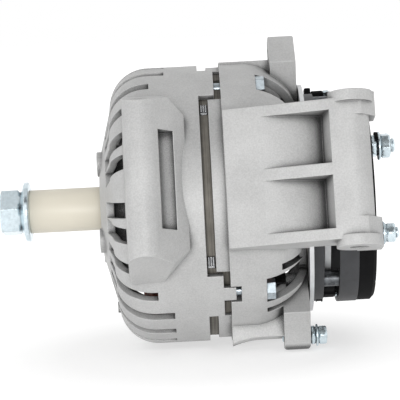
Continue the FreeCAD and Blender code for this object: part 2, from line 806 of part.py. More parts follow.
def rear_bracket():
    body = new_body("rear_bracket", "pilot_x")
    blank = new_sketch(body, "XZ_Plane")
    outline(blank, [
        ("0", "0"), ("rear_depth", "0"), ("rear_depth", "rear_face_radius"),
        ("rear_shoulder_start", "rear_radius", "rear_shoulder_radius"),
        ("pilot_length", "rear_radius"), ("pilot_length", "pilot_radius"), ("0", "pilot_radius"),
    ])
    spin(body, blank, "Revolution")
    add_rear_windows(body)
    add_mount_block(body)
    for sign in (-1, 1):
        add_side_lug(body, sign)
    for sign in (-1, 1):
        add_rib(body, sign)
    cavity = new_sketch(body, "XZ_Plane")
    outline(cavity, [
        ("-1", "0"), ("rear_depth - rear_hub_length", "0"),
        ("rear_depth - rear_hub_length", "rear_hub_radius"),
        ("rear_depth - shell_wall", "rear_hub_radius"),
        ("rear_depth - shell_wall", "rear_face_radius - shell_wall / 2"),
        ("rear_shoulder_start", "rear_radius - shell_wall - 1", "rear_shoulder_radius - shell_wall"),
        ("stator_end_x - pilot_x", "rear_radius - shell_wall - 1"),
        ("stator_end_x - pilot_x", "stator_radius + fit_clearance"),
        ("-1", "stator_radius + fit_clearance"),
    ])
    spin(body, cavity, "Groove")
    seat = new_sketch(body, "XZ_Plane")
    outline(seat, [
        ("rear_depth - rear_hub_length - 1", "0"), ("rear_depth + 1", "0"),
        ("rear_depth + 1", "rear_lip_bore"), ("rear_depth - rear_lip", "rear_lip_bore"),
        ("rear_depth - rear_lip", "rear_bearing_radius + fit_clearance"),
        ("rear_depth - rear_hub_length - 1", "rear_bearing_radius + fit_clearance"),
    ])
    spin(body, seat, "Groove")
    add_rear_bolting(body)
    places = spread("cover_screw_circle", COVER_ANGLES)
    axial_bosses(body, places, "cover_boss_radius", "rear_depth - cover_boss_depth",
                 "cover_boss_depth + plate_gap")
    axial_holes(body, places, "cover_screw_radius + fit_clearance",
                "rear_depth - cover_screw_depth", "cover_screw_depth + plate_gap + 1")
    eyes = [("side_lug_offset", "side_lug_height"), ("side_lug_offset", "-side_lug_height")]
    axial_holes(body, eyes, "side_lug_hole_radius", "side_lug_start - 1", "side_lug_width + 2")
    axial_holes(body, [("lump_offset", "lump_centre_z")], "bolt_m6_radius + fit_clearance",
                "lump_rear - ground_thread_depth", "ground_thread_depth + 1")
    return keep("rear_bracket", body)


def add_rib(body, sign):
    """Add the rib between the rim and one side lug; the lower one flares at the rim."""
    rib = new_sketch(body, "XZ_Plane", lift="-rib_outer")
    near, far = "pilot_length", "side_lug_start + 1"
    if sign > 0:
        outline(rib, [
            (near, "rear_face_radius"), (far, "rear_face_radius"), (far, "lower_rib_height"),
            ("lower_rib_blend", "lower_rib_height"), (near, "lower_rib_rim", "-lower_rib_curve"),
        ])
    else:
        rectangle(rib, near, "-rib_height", far, "-rear_face_radius")
    extrude(body, rib, "Pad", "rib_outer - rib_inner")


def add_rear_windows(body):
    """Cut the windows round the shoulder, with slits beside the block and the lugs."""
    edge = "rear_radius + 2"
    far = "rear_depth + 1"
    pitch = number("air_window_pitch")
    bolt_window = number("bolt_window_angle")
    for angle in (bolt_window, -bolt_window, 180 - bolt_window, 180 + bolt_window):
        radial_cut(body, angle, "window_inner_radius", edge, "window_start", far, "bolt_window_width")
    radial_cut(body, -number("slit_angle"), "window_inner_radius", edge, "window_start", far,
               "slit_width")
    radial_cut(body, -number("block_slit_angle"), "window_inner_radius", edge, "block_slit_start",
               far, "block_slit_width")
    for side in (1, -1):
        for step in (1, 2):
            radial_cut(body, 180 - side * (bolt_window + step * pitch), "window_inner_radius", edge,
                       "window_start", far, "air_window_width")
    radial_cut(body, 180 + 2 * pitch, "window_inner_radius", edge, "window_start", far,
               "air_window_width", 5, "air_window_pitch")


def add_mount_block(body):
    """Add the ramped block with its wedge pockets, the rear barrel and its end lumps."""
    plan = new_sketch(body, "XY_Plane")
    outline(plan, [
        ("pilot_length", "arm_inner_offset - 4"), ("rear_depth", "arm_inner_offset - 4"),
        ("rear_depth", "arm_inner_offset"), ("block_rear", "arm_inner_offset"),
        ("block_rear", "mount_offset"), ("rear_mount_depth", "mount_offset + barrel_radius"),
        ("ramp_end", "ramp_top"), ("pilot_length", "rear_radius"),
    ])
    extrude(body, plan, "Pad", "2 * block_half", both=True)
    barrel = new_sketch(body, "XY_Plane")
    ring(barrel, "rear_mount_depth", "mount_offset", "barrel_radius")
    extrude(body, barrel, "Pad", "2 * barrel_half", both=True)
    for sign, height in ((1, "lump_height"), (-1, "upper_lump_height")):
        wedge = new_sketch(body, "XY_Plane",
                           lift="%d * (block_half - wedge_edge + wedge_rib / 2) / 2" % sign)
        outline(wedge, [
            ("wedge_start",
             "rear_radius + (wedge_start - pilot_length) * block_ramp_rise / block_ramp_length"),
            ("wedge_end - wedge_draft", "wedge_floor", "-wedge_floor_curve"),
            ("wedge_end", "ramp_top + 3"),
            ("wedge_start", "ramp_top + 3"),
        ])
        extrude(body, wedge, "Pocket", "block_half - wedge_edge - wedge_rib / 2", both=True)
        lump = new_sketch(body, "XY_Plane", lift="%d * (barrel_half - %s / 2)" % (sign, height))
        outline(lump, [
            ("rear_mount_depth", "lump_offset - lump_radius"),
            ("lump_rear", "lump_offset - lump_radius"),
            ("lump_rear", "mount_offset"),
            ("rear_mount_depth + 5", "mount_offset + barrel_radius"),
            ("rear_mount_depth", "mount_offset + barrel_radius"),
        ])
        extrude(body, lump, "Pad", height, both=True)
        collar = new_sketch(body, "XY_Plane", lift="%d * (barrel_half - collar_height / 2)" % sign)
        ring(collar, "rear_mount_depth", "mount_offset", "collar_radius")
        extrude(body, collar, "Pad", "collar_height", both=True)
    bore = new_sketch(body, "XY_Plane")
    ring(bore, "rear_mount_depth", "mount_offset", "mount_bore_radius")
    extrude(body, bore, "Pocket", "2 * barrel_half + 2", both=True)


def add_side_lug(body, sign):
    """Add one side lug: a round eye whose flanks run down to the bell."""
    radius = "lower_lug_radius" if sign > 0 else "side_lug_radius"
    near_x = "side_lug_offset + %s * cos(side_lug_flank)" % radius
    near_y = "side_lug_height + %s * sin(side_lug_flank)" % radius
    fall = ("((%s) - tan(side_lug_root_angle) * (%s))"
            " / (cos(side_lug_flank) + tan(side_lug_root_angle) * sin(side_lug_flank))")
    fall = fall % (near_y, near_x)
    profile = [
        ("side_lug_root", "side_lug_floor"),
        ("side_lug_floor / tan(side_lug_root_angle)", "side_lug_floor"),
        ("%s + %s * sin(side_lug_flank)" % (near_x, fall),
         "%s - %s * cos(side_lug_flank)" % (near_y, fall)),
        (near_x, near_y),
        ("side_lug_offset - %s * cos(side_lug_back_flank)" % radius,
         "side_lug_height + %s * sin(side_lug_back_flank)" % radius, "%d * %s" % (sign, radius)),
    ]
    lug = new_sketch(body, "YZ_Plane", lift="side_lug_start")
    outline(lug, [(point[0], "%d * (%s)" % (sign, point[1])) + point[2:] for point in profile])
    extrude(body, lug, "Pad", "side_lug_width")
    level = "side_lug_height + " + radius
    corners = new_sketch(body, "XZ_Plane")
    for edge, way in (("side_lug_start", 1), ("side_lug_start + side_lug_width", -1)):
        outline(corners, [
            ("%s - %d" % (edge, way), "%d * (%s + 1)" % (sign, level)),
            ("%s - %d" % (edge, way), "%d * (%s - lug_rounding)" % (sign, level)),
            (edge, "%d * (%s - lug_rounding)" % (sign, level)),
            ("%s + %d * lug_rounding" % (edge, way), "%d * (%s)" % (sign, level),
             "%d * lug_rounding" % (-way * sign)),
            ("%s + %d * lug_rounding" % (edge, way), "%d * (%s + 1)" % (sign, level)),
        ])
    extrude(body, corners, "Pocket", "side_lug_offset + side_lug_radius + 2")


def add_rear_bolting(body):
    """Cut the pilot ring at the front lugs and the tongue, and add the bolt bosses."""
    sectors(body, BOLT_ANGLES, "lug_sweep + 3", "stator_bore_radius", "rear_radius + 1", "-1",
            "pilot_length + 1", "Pocket")
    places = spread("bolt_circle", BOLT_ANGLES)
    axial_bosses(body, places, "rear_boss_radius", "pilot_length", "window_start - pilot_length")
    axial_holes(body, places, "bolt_radius + fit_clearance", "pilot_length - 1",
                "window_start - pilot_length + 2")
    sectors(body, ["tongue_angle"], "tongue_sweep + 1.6", "tongue_notch_radius", "rear_radius + 1",
            "pilot_length - 1",
            "tongue_reach - joint_gap + tongue_clearance + 1", "Pocket")


def stator():
    core = new_body("stator_core", "stator_x")
    profile = new_sketch(core, "XZ_Plane")
    rectangle(profile, "0", "stator_bore_radius", "stator_length", "stator_radius")
    spin(core, profile, "Revolution")
    slot = new_sketch(core, "XY_Plane")
    rectangle(slot, "-1", "stator_bore_radius - 2", "stator_length + 1", "stator_slot_radius")
    cut = extrude(core, slot, "Pocket", "stator_slot_width", both=True)
    repeat(core, cut, "stator_slots", "360")
    axial_holes(core, spread("bolt_circle", BOLT_ANGLES), "stator_notch_radius", "-1",
                "stator_length + 2")
    keep("stator_core", core)
    winding = new_body("stator_winding", "stator_x - front_end_turn")
    for start, length in (("0", "front_end_turn"), ("front_end_turn + stator_length", "rear_end_turn")):
        turns = new_sketch(winding, "XZ_Plane")
        rectangle(turns, start, "end_turn_inner", "%s + %s" % (start, length), "end_turn_outer")
        spin(winding, turns, "Revolution")
        if start == "0":
            bar = new_sketch(winding, "XY_Plane")
            rectangle(bar, "front_end_turn - 1", "end_turn_inner + 0.5",
                      "front_end_turn + stator_length + 1", "stator_slot_radius - conductor_clearance")
            wire = extrude(winding, bar, "Pad", "stator_slot_width - 2 * conductor_clearance", both=True)
            repeat(winding, wire, "stator_slots", "360")
    keep("stator_winding", winding)


def through_bolts():
    bolts = []
    for angle in BOLT_ANGLES:
        y, z = around("bolt_circle", angle)
        shank = rod("bolt_radius", "bolt_head_x - bolt_tip_x + 1", "bolt_tip_x", y, z)
        head = hexagon("bolt_head_flats", "bolt_head_height", "bolt_head_x", y, z)
        bolts.append(joined([shank, head]))
    group("through_bolts", bolts)


def bearing(prefix, title, start, width):
    """Make one sealed deep-groove bearing: two races, balls, cage and two shields."""
    names = {
        "bore": prefix + "_bearing_bore", "outer": prefix + "_bearing_radius",
        "circle": prefix + "_ball_circle", "ball": prefix + "_ball_radius",
        "race": "race_thickness" if prefix == "front" else "rear_race_thickness",
    }
    groove = "%s + ball_clearance" % names["ball"]
    half = "sqrt(pow(%s; 2) - pow(%s - %s; 2))"
    inner_edge = "(%s + %s)" % (names["bore"], names["race"])
    outer_edge = "(%s - %s)" % (names["outer"], names["race"])
    for race, low, high in (("inner", names["bore"], inner_edge), ("outer", outer_edge, names["outer"])):
        edge = high if race == "inner" else low
        ends = (names["circle"], edge) if race == "inner" else (edge, names["circle"])
        lift = half % ((groove,) + ends)
        body = new_body("%s_%s_ring" % (title, race), start)
        ring_profile = new_sketch(body, "XZ_Plane")
        if race == "inner":
            points = [("0", low), (width, low), (width, high), ("%s / 2 + %s" % (width, lift), high),
                      ("%s / 2 - %s" % (width, lift), high, "-(%s)" % groove), ("0", high)]
        else:
            points = [("0", low), ("%s / 2 - %s" % (width, lift), low),
                      ("%s / 2 + %s" % (width, lift), low, "-(%s)" % groove), (width, low),
                      (width, high), ("0", high)]
        outline(ring_profile, points)
        spin(body, ring_profile, "Revolution")
        keep("%s_%s_ring" % (title, race), body)
    balls = []
    count = int(number(prefix + "_ball_count"))
    for index in range(count):
        y, z = around(names["circle"], str(360.0 * index / count))
        ball = doc.addObject("Part::Sphere", "ball")
        bind(ball, "Radius", names["ball"])
        balls.append(place(ball, "%s + %s / 2" % (start, width), y, z, Rotation()))
    group(title + "_balls", balls)
    cage = new_body(title + "_cage", "%s + %s / 2 - %s - cage_edge" % (start, width, names["ball"]))
    band = new_sketch(cage, "XZ_Plane")
    rectangle(band, "0", "%s - cage_half_thickness" % names["circle"],
              "2 * (%s + cage_edge)" % names["ball"], "%s + cage_half_thickness" % names["circle"])
    spin(cage, band, "Revolution")
    hole = new_sketch(cage, "XZ_Plane")
    ring(hole, "%s + cage_edge" % names["ball"], "0", "%s + ball_clearance" % names["ball"])
    cut = extrude(cage, hole, "Pocket", "2 * %s" % names["outer"], flip=False)
    repeat(cage, cut, prefix + "_ball_count", "360")
    keep(title + "_cage", cage)
    shields = []
    for side in ("seal_inset", "%s - seal_thickness - seal_inset" % width):
        disc = rod("%s - fit_clearance" % outer_edge, "seal_thickness", "%s + %s" % (start, side),
                   "mount_offset", "0")
        eye = rod("%s + clearance" % inner_edge, "seal_thickness + 2", "%s + %s - 1" % (start, side),
                  "mount_offset", "0")
        shields.append(drilled(disc, eye))
    group(title + "_shields", shields)


def retainer():
    plate = tube("bearing_retainer", "front_bearing_end_x", "retainer_bore_radius",
                 "hub_boss_radius", "retainer_thickness")
    corners = spread("retainer_screw_circle", SCREW_ANGLES)
    axial_holes(plate, corners, "retainer_screw_head + fit_clearance", "retainer_thickness / 2",
                "retainer_thickness")
    axial_holes(plate, corners, "retainer_screw_radius + fit_clearance", "-1", "retainer_thickness + 1")
    keep("bearing_retainer", plate)
    screws = []
    for angle in SCREW_ANGLES:
        y, z = around("retainer_screw_circle", str(angle))
        length = "retainer_screw_length - retainer_thickness / 2 - 1"
        middle = "front_bearing_end_x + retainer_thickness / 2"
        shank = rod("retainer_screw_radius - fit_clearance", length, "%s - (%s)" % (middle, length), y, z)
        head = rod("retainer_screw_head", "retainer_thickness / 2", middle, y, z)
        screws.append(joined([shank, head]))
    group("retainer_screws", screws)


# Rotor: shaft, claw poles, field coil, fans and slip rings


def rotor():
    shaft = turned("rotor_shaft", "shaft_start_x", [
        ("0", "0"), ("shaft_end - shaft_start_x", "0"),
        ("shaft_end - shaft_start_x", "shaft_tail_radius"),
        ("rear_seat_end - shaft_start_x", "shaft_tail_radius"),
        ("rear_seat_end - shaft_start_x", "rear_bearing_bore - fit_clearance"),
        ("rear_seat_start - shaft_start_x", "rear_bearing_bore - fit_clearance"),
        ("rear_seat_start - shaft_start_x", "pole_bore_radius - fit_clearance"),
        ("front_bearing_end_x - shaft_start_x", "pole_bore_radius - fit_clearance"),
        ("front_bearing_end_x - shaft_start_x", "front_bearing_bore - fit_clearance"),
        ("thread_end - shaft_start_x", "front_bearing_bore - fit_clearance"),
        ("thread_end - shaft_start_x", "thread_radius"), ("0", "thread_radius"),
    ])
    keep("rotor_shaft", shaft)
    claw_pole("claw_pole_front", "rotor_start", False)
    claw_pole("claw_pole_rear", "rotor_end_x", True)
    bobbin = turned("coil_bobbin", "coil_start_x", [
        ("0", "core_radius + fit_clearance"), ("coil_length", "core_radius + fit_clearance"),
        ("coil_length", "coil_outer"), ("coil_length - bobbin_wall", "coil_outer"),
        ("coil_length - bobbin_wall", "coil_inner"), ("bobbin_wall", "coil_inner"),
        ("bobbin_wall", "coil_outer"), ("0", "coil_outer"),
    ])
    keep("coil_bobbin", bobbin)
    keep("field_coil", tube("field_coil", "coil_start_x + bobbin_wall", "coil_inner + fit_clearance",
                            "coil_outer - 1", "coil_length - 2 * bobbin_wall"))
    fan("front_fan", "rotor_start - fan_sheet", False)
    fan("rear_fan", "rotor_end_x", True)
    keep("slip_ring_hub", tube("slip_ring_hub", "ring_hub_start", "shaft_tail_radius + fit_clearance",
                               "ring_hub_radius", "ring_hub_length"))
    rings = []
    for index in range(2):
        x = "slip_ring_start + %d * slip_ring_pitch" % index
        disc = rod("slip_ring_radius", "slip_ring_width", x, "mount_offset", "0")
        eye = rod("ring_hub_radius + fit_clearance", "slip_ring_width + 2", "%s - 1" % x,
                  "mount_offset", "0")
        rings.append(drilled(disc, eye))
    group("slip_rings", rings)


def claw_pole(name, station, backwards):
    """Make one pole half: a disc and core with tapering claws folded over the coil."""
    body = new_body(name, station)
    if backwards:
        body.Placement = Placement(body.Placement.Base, Rotation(Vector(0, 0, 1), 180))
        bind(body, "Placement.Base.x", station)
    reach = "rotor_length - claw_tip_gap"
    profile = new_sketch(body, "XZ_Plane")
    outline(profile, [
        ("0", "pole_bore_radius"), ("rotor_length / 2", "pole_bore_radius"),
        ("rotor_length / 2", "core_radius"), ("pole_disc", "core_radius"),
        ("pole_disc", "rotor_radius - claw_thickness"), (reach, "rotor_radius - claw_thickness / 2"),
        (reach, "rotor_radius"), ("0", "rotor_radius"),
    ])
    spin(body, profile, "Revolution")
    gap = new_sketch(body, "XY_Plane" if backwards else "XZ_Plane", lift="-claw_valley_radius")
    half_gap = "rotor_radius * sin(180 deg / claw_count - asin(%s / rotor_radius))"
    root = half_gap % "claw_root_half"
    tip = half_gap % "claw_tip_half"
    outline(gap, [
        ("-1", root), ("rotor_length", tip), ("rotor_length", "-(%s)" % tip), ("-1", "-(%s)" % root),
    ])
    cut = extrude(body, gap, "Pocket", "rotor_radius")
    repeat(body, cut, "claw_count", "360")
    keep(name, body)


def fan(name, station, backwards):
    """Make one fan: a thin disc with leaning blades."""
    body = new_body(name, station)
    disc = new_sketch(body, "XZ_Plane")
    rectangle(disc, "0", "pole_bore_radius", "fan_sheet", "fan_radius")
    spin(body, disc, "Revolution")
    blade = new_sketch(body, "YZ_Plane", lift="fan_sheet - 0.2" if backwards else "0.2")
    lean = number("fan_blade_lean")
    outline(blade, [
        ("fan_blade_inner", "0"),
        ("fan_radius * cos(fan_blade_lean)", "fan_radius * sin(fan_blade_lean)", "-fan_radius"),
        ("(fan_radius - fan_blade_thickness) * cos(fan_blade_lean)",
         "(fan_radius - fan_blade_thickness) * sin(fan_blade_lean) + fan_blade_thickness"),
        ("fan_blade_inner", "fan_blade_thickness", "fan_radius"),
    ])
    pad = extrude(body, blade, "Pad", "fan_blade_height", flip=not backwards)
    repeat(body, pad, "fan_blade_count", "360")
    keep(name, body)


def pulley_seat():
    keep("spacer_collar", tube("spacer_collar", "collar_x", "front_bearing_bore + fit_clearance",
                               "collar_outer_radius", "collar_thickness"))
    keep("transit_sleeve", tube("transit_sleeve", "sleeve_front", "sleeve_bore_radius",
                                "sleeve_radius", "collar_x - sleeve_front"))
    flange = turned("pulley_nut_flange", "nut_flare_x - 1", [
        ("0", "0"), ("nut_flare + nut_flange_rim + 1", "0"),
        ("nut_flare + nut_flange_rim + 1", "nut_flange_radius"),
        ("nut_flare + 1", "nut_flange_radius"), ("0", "nut_hex_flats / 2"),
    ])
    prism = hexagon("nut_hex_flats", "nut_hex_height + 1", "nut_front_x", "mount_offset", "0", turn=90)
    bore = rod("thread_radius + fit_clearance", "nut_hex_height + 12", "nut_front_x - 1",
               "mount_offset", "0")
    keep("pulley_nut", drilled(joined([flange, prism]), bore))


# Brush gear and regulator


def brush_gear():
    low = "-holder_bottom"
    holder = block("plate_end_x", "mount_offset - holder_half", low, "holder_length",
                   "2 * holder_half", "holder_bottom - holder_top")
    sides = ("front", "rear")
    for index, side in enumerate(sides):
        middle = "slip_ring_start + slip_ring_width / 2 + %d * slip_ring_pitch" % index
        slot = block("%s - brush_width / 2 - brush_slot_clearance" % middle,
                     "mount_offset - brush_depth / 2 - brush_slot_clearance", "-holder_floor_z",
                     "brush_width + 2 * brush_slot_clearance", "brush_depth + 2 * brush_slot_clearance",
                     "holder_bottom")
        holder = drilled(holder, slot)
        brush = block("%s - brush_width / 2" % middle, "mount_offset - brush_depth / 2",
                      "-brush_low_z", "brush_width", "brush_depth", "brush_length")
        keep("%s_brush" % side, brush)
        coil = rod("spring_radius", "holder_floor_z - brush_low_z", middle, "mount_offset",
                   "-holder_floor_z", along="z")
        eye = rod("spring_radius - spring_wire", "holder_floor_z - brush_low_z + 2", middle,
                  "mount_offset", "-holder_floor_z - 1", along="z")
        keep("%s_brush_spring" % side, drilled(coil, eye))
    keep("brush_holder", holder)
    keep("voltage_regulator", block("plate_end_x + holder_length - regulator_length",
                                    "mount_offset + holder_half", "-regulator_bottom",
                                    "regulator_length", "regulator_depth",
                                    "regulator_bottom - regulator_top"))


# Rectifier plates, carrier, covers and terminals


def rectifier():
    plate = tube("heat_sink_plate", "plate_x", "plate_bore_radius", "plate_radius", "plate_thickness")
    axial_holes(plate, spread("cover_screw_circle", COVER_ANGLES), "cover_screw_radius + clearance",
                "-1", "plate_thickness + 2")
    axial_holes(plate, spread("lead_circle", LEAD_ANGLES), "lead_radius + clearance", "-1",
                "plate_thickness + 2")
    diodes = {"negative": [], "positive": []}
    for index in range(6):
        angle = number("diode_first_angle") + index * number("diode_pitch")
        for kind, start in (("negative", "plate_x"), ("positive", "positive_x")):
            y, z = around(kind + "_diode_circle", str(angle))
            diodes[kind].append(rod("diode_radius", "diode_length", "%s - diode_projection" % start,
                                    y, z))
    seats = [number("diode_first_angle") + index * number("diode_pitch") for index in range(6)]
    axial_holes(plate, spread("negative_diode_circle", seats), "diode_radius + fit_clearance", "-1",
                "plate_thickness + 2")
    keep("heat_sink_plate", plate)
    positive = tube("positive_plate", "positive_x", "plate_bore_radius", "positive_radius",
                    "positive_thickness")
    cutout = new_sketch(positive, "YZ_Plane", lift="-1")
    rectangle(cutout, "-holder_cutout_half", "plate_bore_radius - 6", "holder_cutout_half",
              "positive_radius + 2")
    extrude(positive, cutout, "Pocket", "positive_thickness + 2", flip=True)
    axial_holes(positive, spread("positive_diode_circle", seats), "diode_radius + fit_clearance", "-1",
                "positive_thickness + 2")
    axial_holes(positive, [("stud_offset", "-stud_height")], "stud_radius + fit_clearance", "-1",
                "positive_thickness + 2")
    keep("positive_plate", positive)
    group("negative_diodes", diodes["negative"])
    group("positive_diodes", diodes["positive"])
    bushes = []
    for angle in BUSH_ANGLES:
        y, z = around("bush_circle", str(angle))
        bushes.append(rod("bush_radius", "positive_x - plate_end_x", "plate_end_x", y, z))
    group("insulating_bushes", bushes)
    carrier = tube("rectifier_carrier", "plate_end_x", "carrier_inner_radius", "carrier_radius",
                   "carrier_thickness")
    axial_holes(carrier, spread("cover_screw_circle", COVER_ANGLES), "cover_screw_radius + clearance",
                "-1", "carrier_thickness + 2")
    keep("rectifier_carrier", carrier)
    leads = []
    for angle in LEAD_ANGLES:
        y, z = around("lead_circle", str(angle))
        leads.append(rod("lead_radius", "plate_end_x - stator_end_x - rear_end_turn",
                         "stator_end_x + rear_end_turn", y, z))
    group("phase_leads", leads)


def covers():
    shell = turned("cover_ring", "cover_x", [
        ("0", "cover_radius - cover_wall"), ("ring_length", "cover_radius - cover_wall"),
        ("ring_length", "cover_radius"), ("0", "cover_radius"),
    ])
    places = spread("cover_screw_circle", COVER_ANGLES)
    axial_bosses(shell, places, "cover_pillar_radius", "0", "ring_length")
    axial_holes(shell, places, "cover_screw_radius + clearance", "-1", "ring_length + 2")
    keep("cover_ring", shell)
    cap = turned("rear_cover", "cap_x", [
        ("0", "cover_radius - cover_wall"), ("cap_length - cover_wall", "cover_radius - cover_wall"),
        ("cap_length - cover_wall", "0"), ("cap_length", "0"),
        ("cap_length", "cover_radius - cap_inset - cap_chamfer"),
        ("cap_length - cap_chamfer", "cover_radius - cap_inset"), ("0", "cover_radius - cap_inset"),
    ])
    axial_bosses(cap, places, "cover_pillar_radius", "0", "cap_length - cover_wall + 0.5")
    axial_holes(cap, places, "cover_screw_radius + clearance", "-1", "cap_length + 2")
    axial_holes(cap, places, "cover_screw_head + clearance", "cap_length - cover_screw_sink",
                "cover_screw_sink + 1")
    vent = new_sketch(cap, "XY_Plane", turn=360 / number("vent_count") / 2)
    rectangle(vent, "cap_length - cover_wall - 2", "vent_inner_radius", "cap_length + 1",
              "vent_outer_radius")
    cut = extrude(cap, vent, "Pocket", "vent_width", both=True)
    repeat(cap, cut, "vent_count", "360")
    axial_holes(cap, [("stud_offset", "-stud_height")], "stud_bush_radius + clearance",
                "cap_length - cover_wall - 1", "cover_wall + 2")
    keep("rear_cover", cap)
    screws = []
    for angle in COVER_ANGLES:
        y, z = around("cover_screw_circle", str(angle))
        shank = rod("cover_screw_radius", "cap_end_x - rear_plane_x + cover_screw_depth - 1",
                    "rear_plane_x - cover_screw_depth", y, z)
        head = rod("cover_screw_head", "cover_screw_head_height", "cap_end_x - cover_screw_sink", y, z)
        screws.append(joined([shank, head]))
    group("cover_screws", screws)
    spacers = []
    for angle in COVER_ANGLES:
        y, z = around("cover_screw_circle", str(angle))
        sleeve = rod("spacer_radius", "cover_gap", "carrier_end_x", y, z)
        eye = rod("cover_screw_radius + fit_clearance", "cover_gap + 2", "carrier_end_x - 1", y, z)
        spacers.append(drilled(sleeve, eye))
    group("cover_spacers", spacers)


def terminals():
    y = "mount_offset - stud_offset"
    z = "stud_height"
    head = rod("stud_head_radius", "stud_head_height", "positive_x - stud_head_height", y, z)
    shank = rod("stud_radius", "stud_tip - positive_x + 1", "positive_x - 1", y, z)
    keep("output_stud", joined([head, shank]))
    bush = rod("stud_bush_radius", "cap_end_x - positive_end_x", "positive_end_x", y, z)
    eye = rod("stud_radius + clearance", "cap_end_x", "positive_x", y, z)
    keep("output_stud_bush", drilled(bush, eye))
    nuts = []
    for flats, start, height, turn in (("stud_nut_flats", "cap_end_x", "stud_jam_height", 20),
                                       ("stud_nut_flats", "stud_nut_x", "stud_nut_height", 0)):
        nut = hexagon(flats, height, start, y, z, turn=turn)
        nuts.append(drilled(nut, rod("stud_radius + fit_clearance", "40", "cap_end_x - 1", y, z)))
    group("output_stud_nuts", nuts)
    washer = rod("washer_radius", "washer_thickness", "jam_end_x", y, z)
    keep("output_stud_washer", drilled(washer, rod("stud_radius + fit_clearance", "20", "cap_end_x", y, z)))
    ground_y = "mount_offset - lump_offset"
    ground_z = "-lump_centre_z"
    shank = rod("bolt_m6_radius", "ground_thread_depth + small_washer_thickness",
                "lump_face_x - ground_thread_depth + 1", ground_y, ground_z)
    head = hexagon("bolt_m6_flats", "bolt_m6_height", "lump_face_x + small_washer_thickness",
                   ground_y, ground_z, turn=15)
    keep("ground_bolt", joined([shank, head]))
    washer = rod("small_washer_radius", "small_washer_thickness", "lump_face_x", ground_y, ground_z)
    hole = rod("bolt_m6_radius + fit_clearance", "6", "lump_face_x - 2", ground_y, ground_z)
    keep("ground_washer", drilled(washer, hole))
    lug_y = "mount_offset - side_lug_offset"
    lug_z = "-side_lug_height"
    start = "side_lug_rear_x"
    stud = rod("bolt_m6_radius", "side_lug_width + lug_stud_reach + 1", "side_lug_x - 1", lug_y, lug_z)
    keep("lug_stud", stud)
    washer_start = start + " + lug_jam_height + stack_gap"
    thin = hexagon("bolt_m6_flats", "lug_jam_height", start, lug_y, lug_z, turn=10)
    nut = hexagon("bolt_m6_flats", "bolt_m6_height",
                  washer_start + " + small_washer_thickness + stack_gap", lug_y, lug_z, turn=25)
    eye = "bolt_m6_radius + fit_clearance"
    group("lug_nuts", [drilled(thin, rod(eye, "20", start + " - 2", lug_y, lug_z)),
                       drilled(nut, rod(eye, "20", start + " - 2", lug_y, lug_z))])
    washer = rod("small_washer_radius", "small_washer_thickness", washer_start, lug_y, lug_z)
    keep("lug_washer", drilled(washer, rod(eye, "20", start + " - 2", lug_y, lug_z)))


def write_parts():
    """Work the whole document out, check every object and write each node."""
    doc.recompute()
    for thing in doc.Objects:
        if "Invalid" in thing.State or "Error" in thing.State:
            raise RuntimeError("%s (%s) failed" % (thing.Name, thing.Label))
    os.makedirs("parts", exist_ok=True)
    for name, thing in NODES.items():
        if thing.Shape.isNull() or not thing.Shape.isValid() or not thing.Shape.Solids:
            raise RuntimeError("%s has no valid solid" % name)
        thing.Shape.exportStep("parts/%s.step" % name)


drive_end_bracket()
rear_bracket()
stator()
through_bolts()
bearing("front", "front_bearing", "front_bearing_x", "front_bearing_width")
bearing("rear", "rear_bearing", "rear_bearing_x", "rear_bearing_width")
retainer()
rotor()
pulley_seat()
brush_gear()
rectifier()
covers()
terminals()
write_parts()
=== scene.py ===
"""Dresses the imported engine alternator: finishes, turned and threaded pieces, windings and a studio."""

import json
import logging
import math
from dataclasses import dataclass
from enum import Enum
from functools import cache
from typing import Any, Callable, Optional, Sequence, Union

import bmesh
import bpy
import numpy as np
from bpy.types import ID, Material, NodeSocket, Object
from mathutils import Matrix, Vector


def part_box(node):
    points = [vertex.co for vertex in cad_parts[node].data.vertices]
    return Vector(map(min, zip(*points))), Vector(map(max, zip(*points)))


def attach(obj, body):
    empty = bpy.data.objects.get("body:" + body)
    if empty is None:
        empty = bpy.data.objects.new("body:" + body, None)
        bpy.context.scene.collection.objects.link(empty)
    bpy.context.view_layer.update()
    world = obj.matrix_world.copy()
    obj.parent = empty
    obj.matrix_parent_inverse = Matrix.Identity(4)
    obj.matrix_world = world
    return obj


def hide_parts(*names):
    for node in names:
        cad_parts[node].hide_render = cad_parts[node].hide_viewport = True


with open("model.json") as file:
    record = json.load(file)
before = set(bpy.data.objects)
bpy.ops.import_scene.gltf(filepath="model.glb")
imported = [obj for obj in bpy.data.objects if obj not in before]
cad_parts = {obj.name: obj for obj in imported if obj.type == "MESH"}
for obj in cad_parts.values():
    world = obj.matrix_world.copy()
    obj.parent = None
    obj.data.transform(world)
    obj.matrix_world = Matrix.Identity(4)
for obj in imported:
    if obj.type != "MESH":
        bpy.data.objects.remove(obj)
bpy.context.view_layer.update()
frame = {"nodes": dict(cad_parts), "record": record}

SHAFT_Y = 0.089
SHAFT = (0.0, SHAFT_Y, 0.0)
MERGE = 1e-7

log = logging.getLogger("alternator")
logging.basicConfig(level=logging.INFO, format="%(message)s")

Array = np.ndarray
Operand = Union["Value", float]
Colour = tuple[float, float, float]
Point = tuple[float, float, float]
Pair = tuple[float, float]
Pieces = list[Object]
Rule = Callable[[Array, Array, Array], Array]


# Shader maths


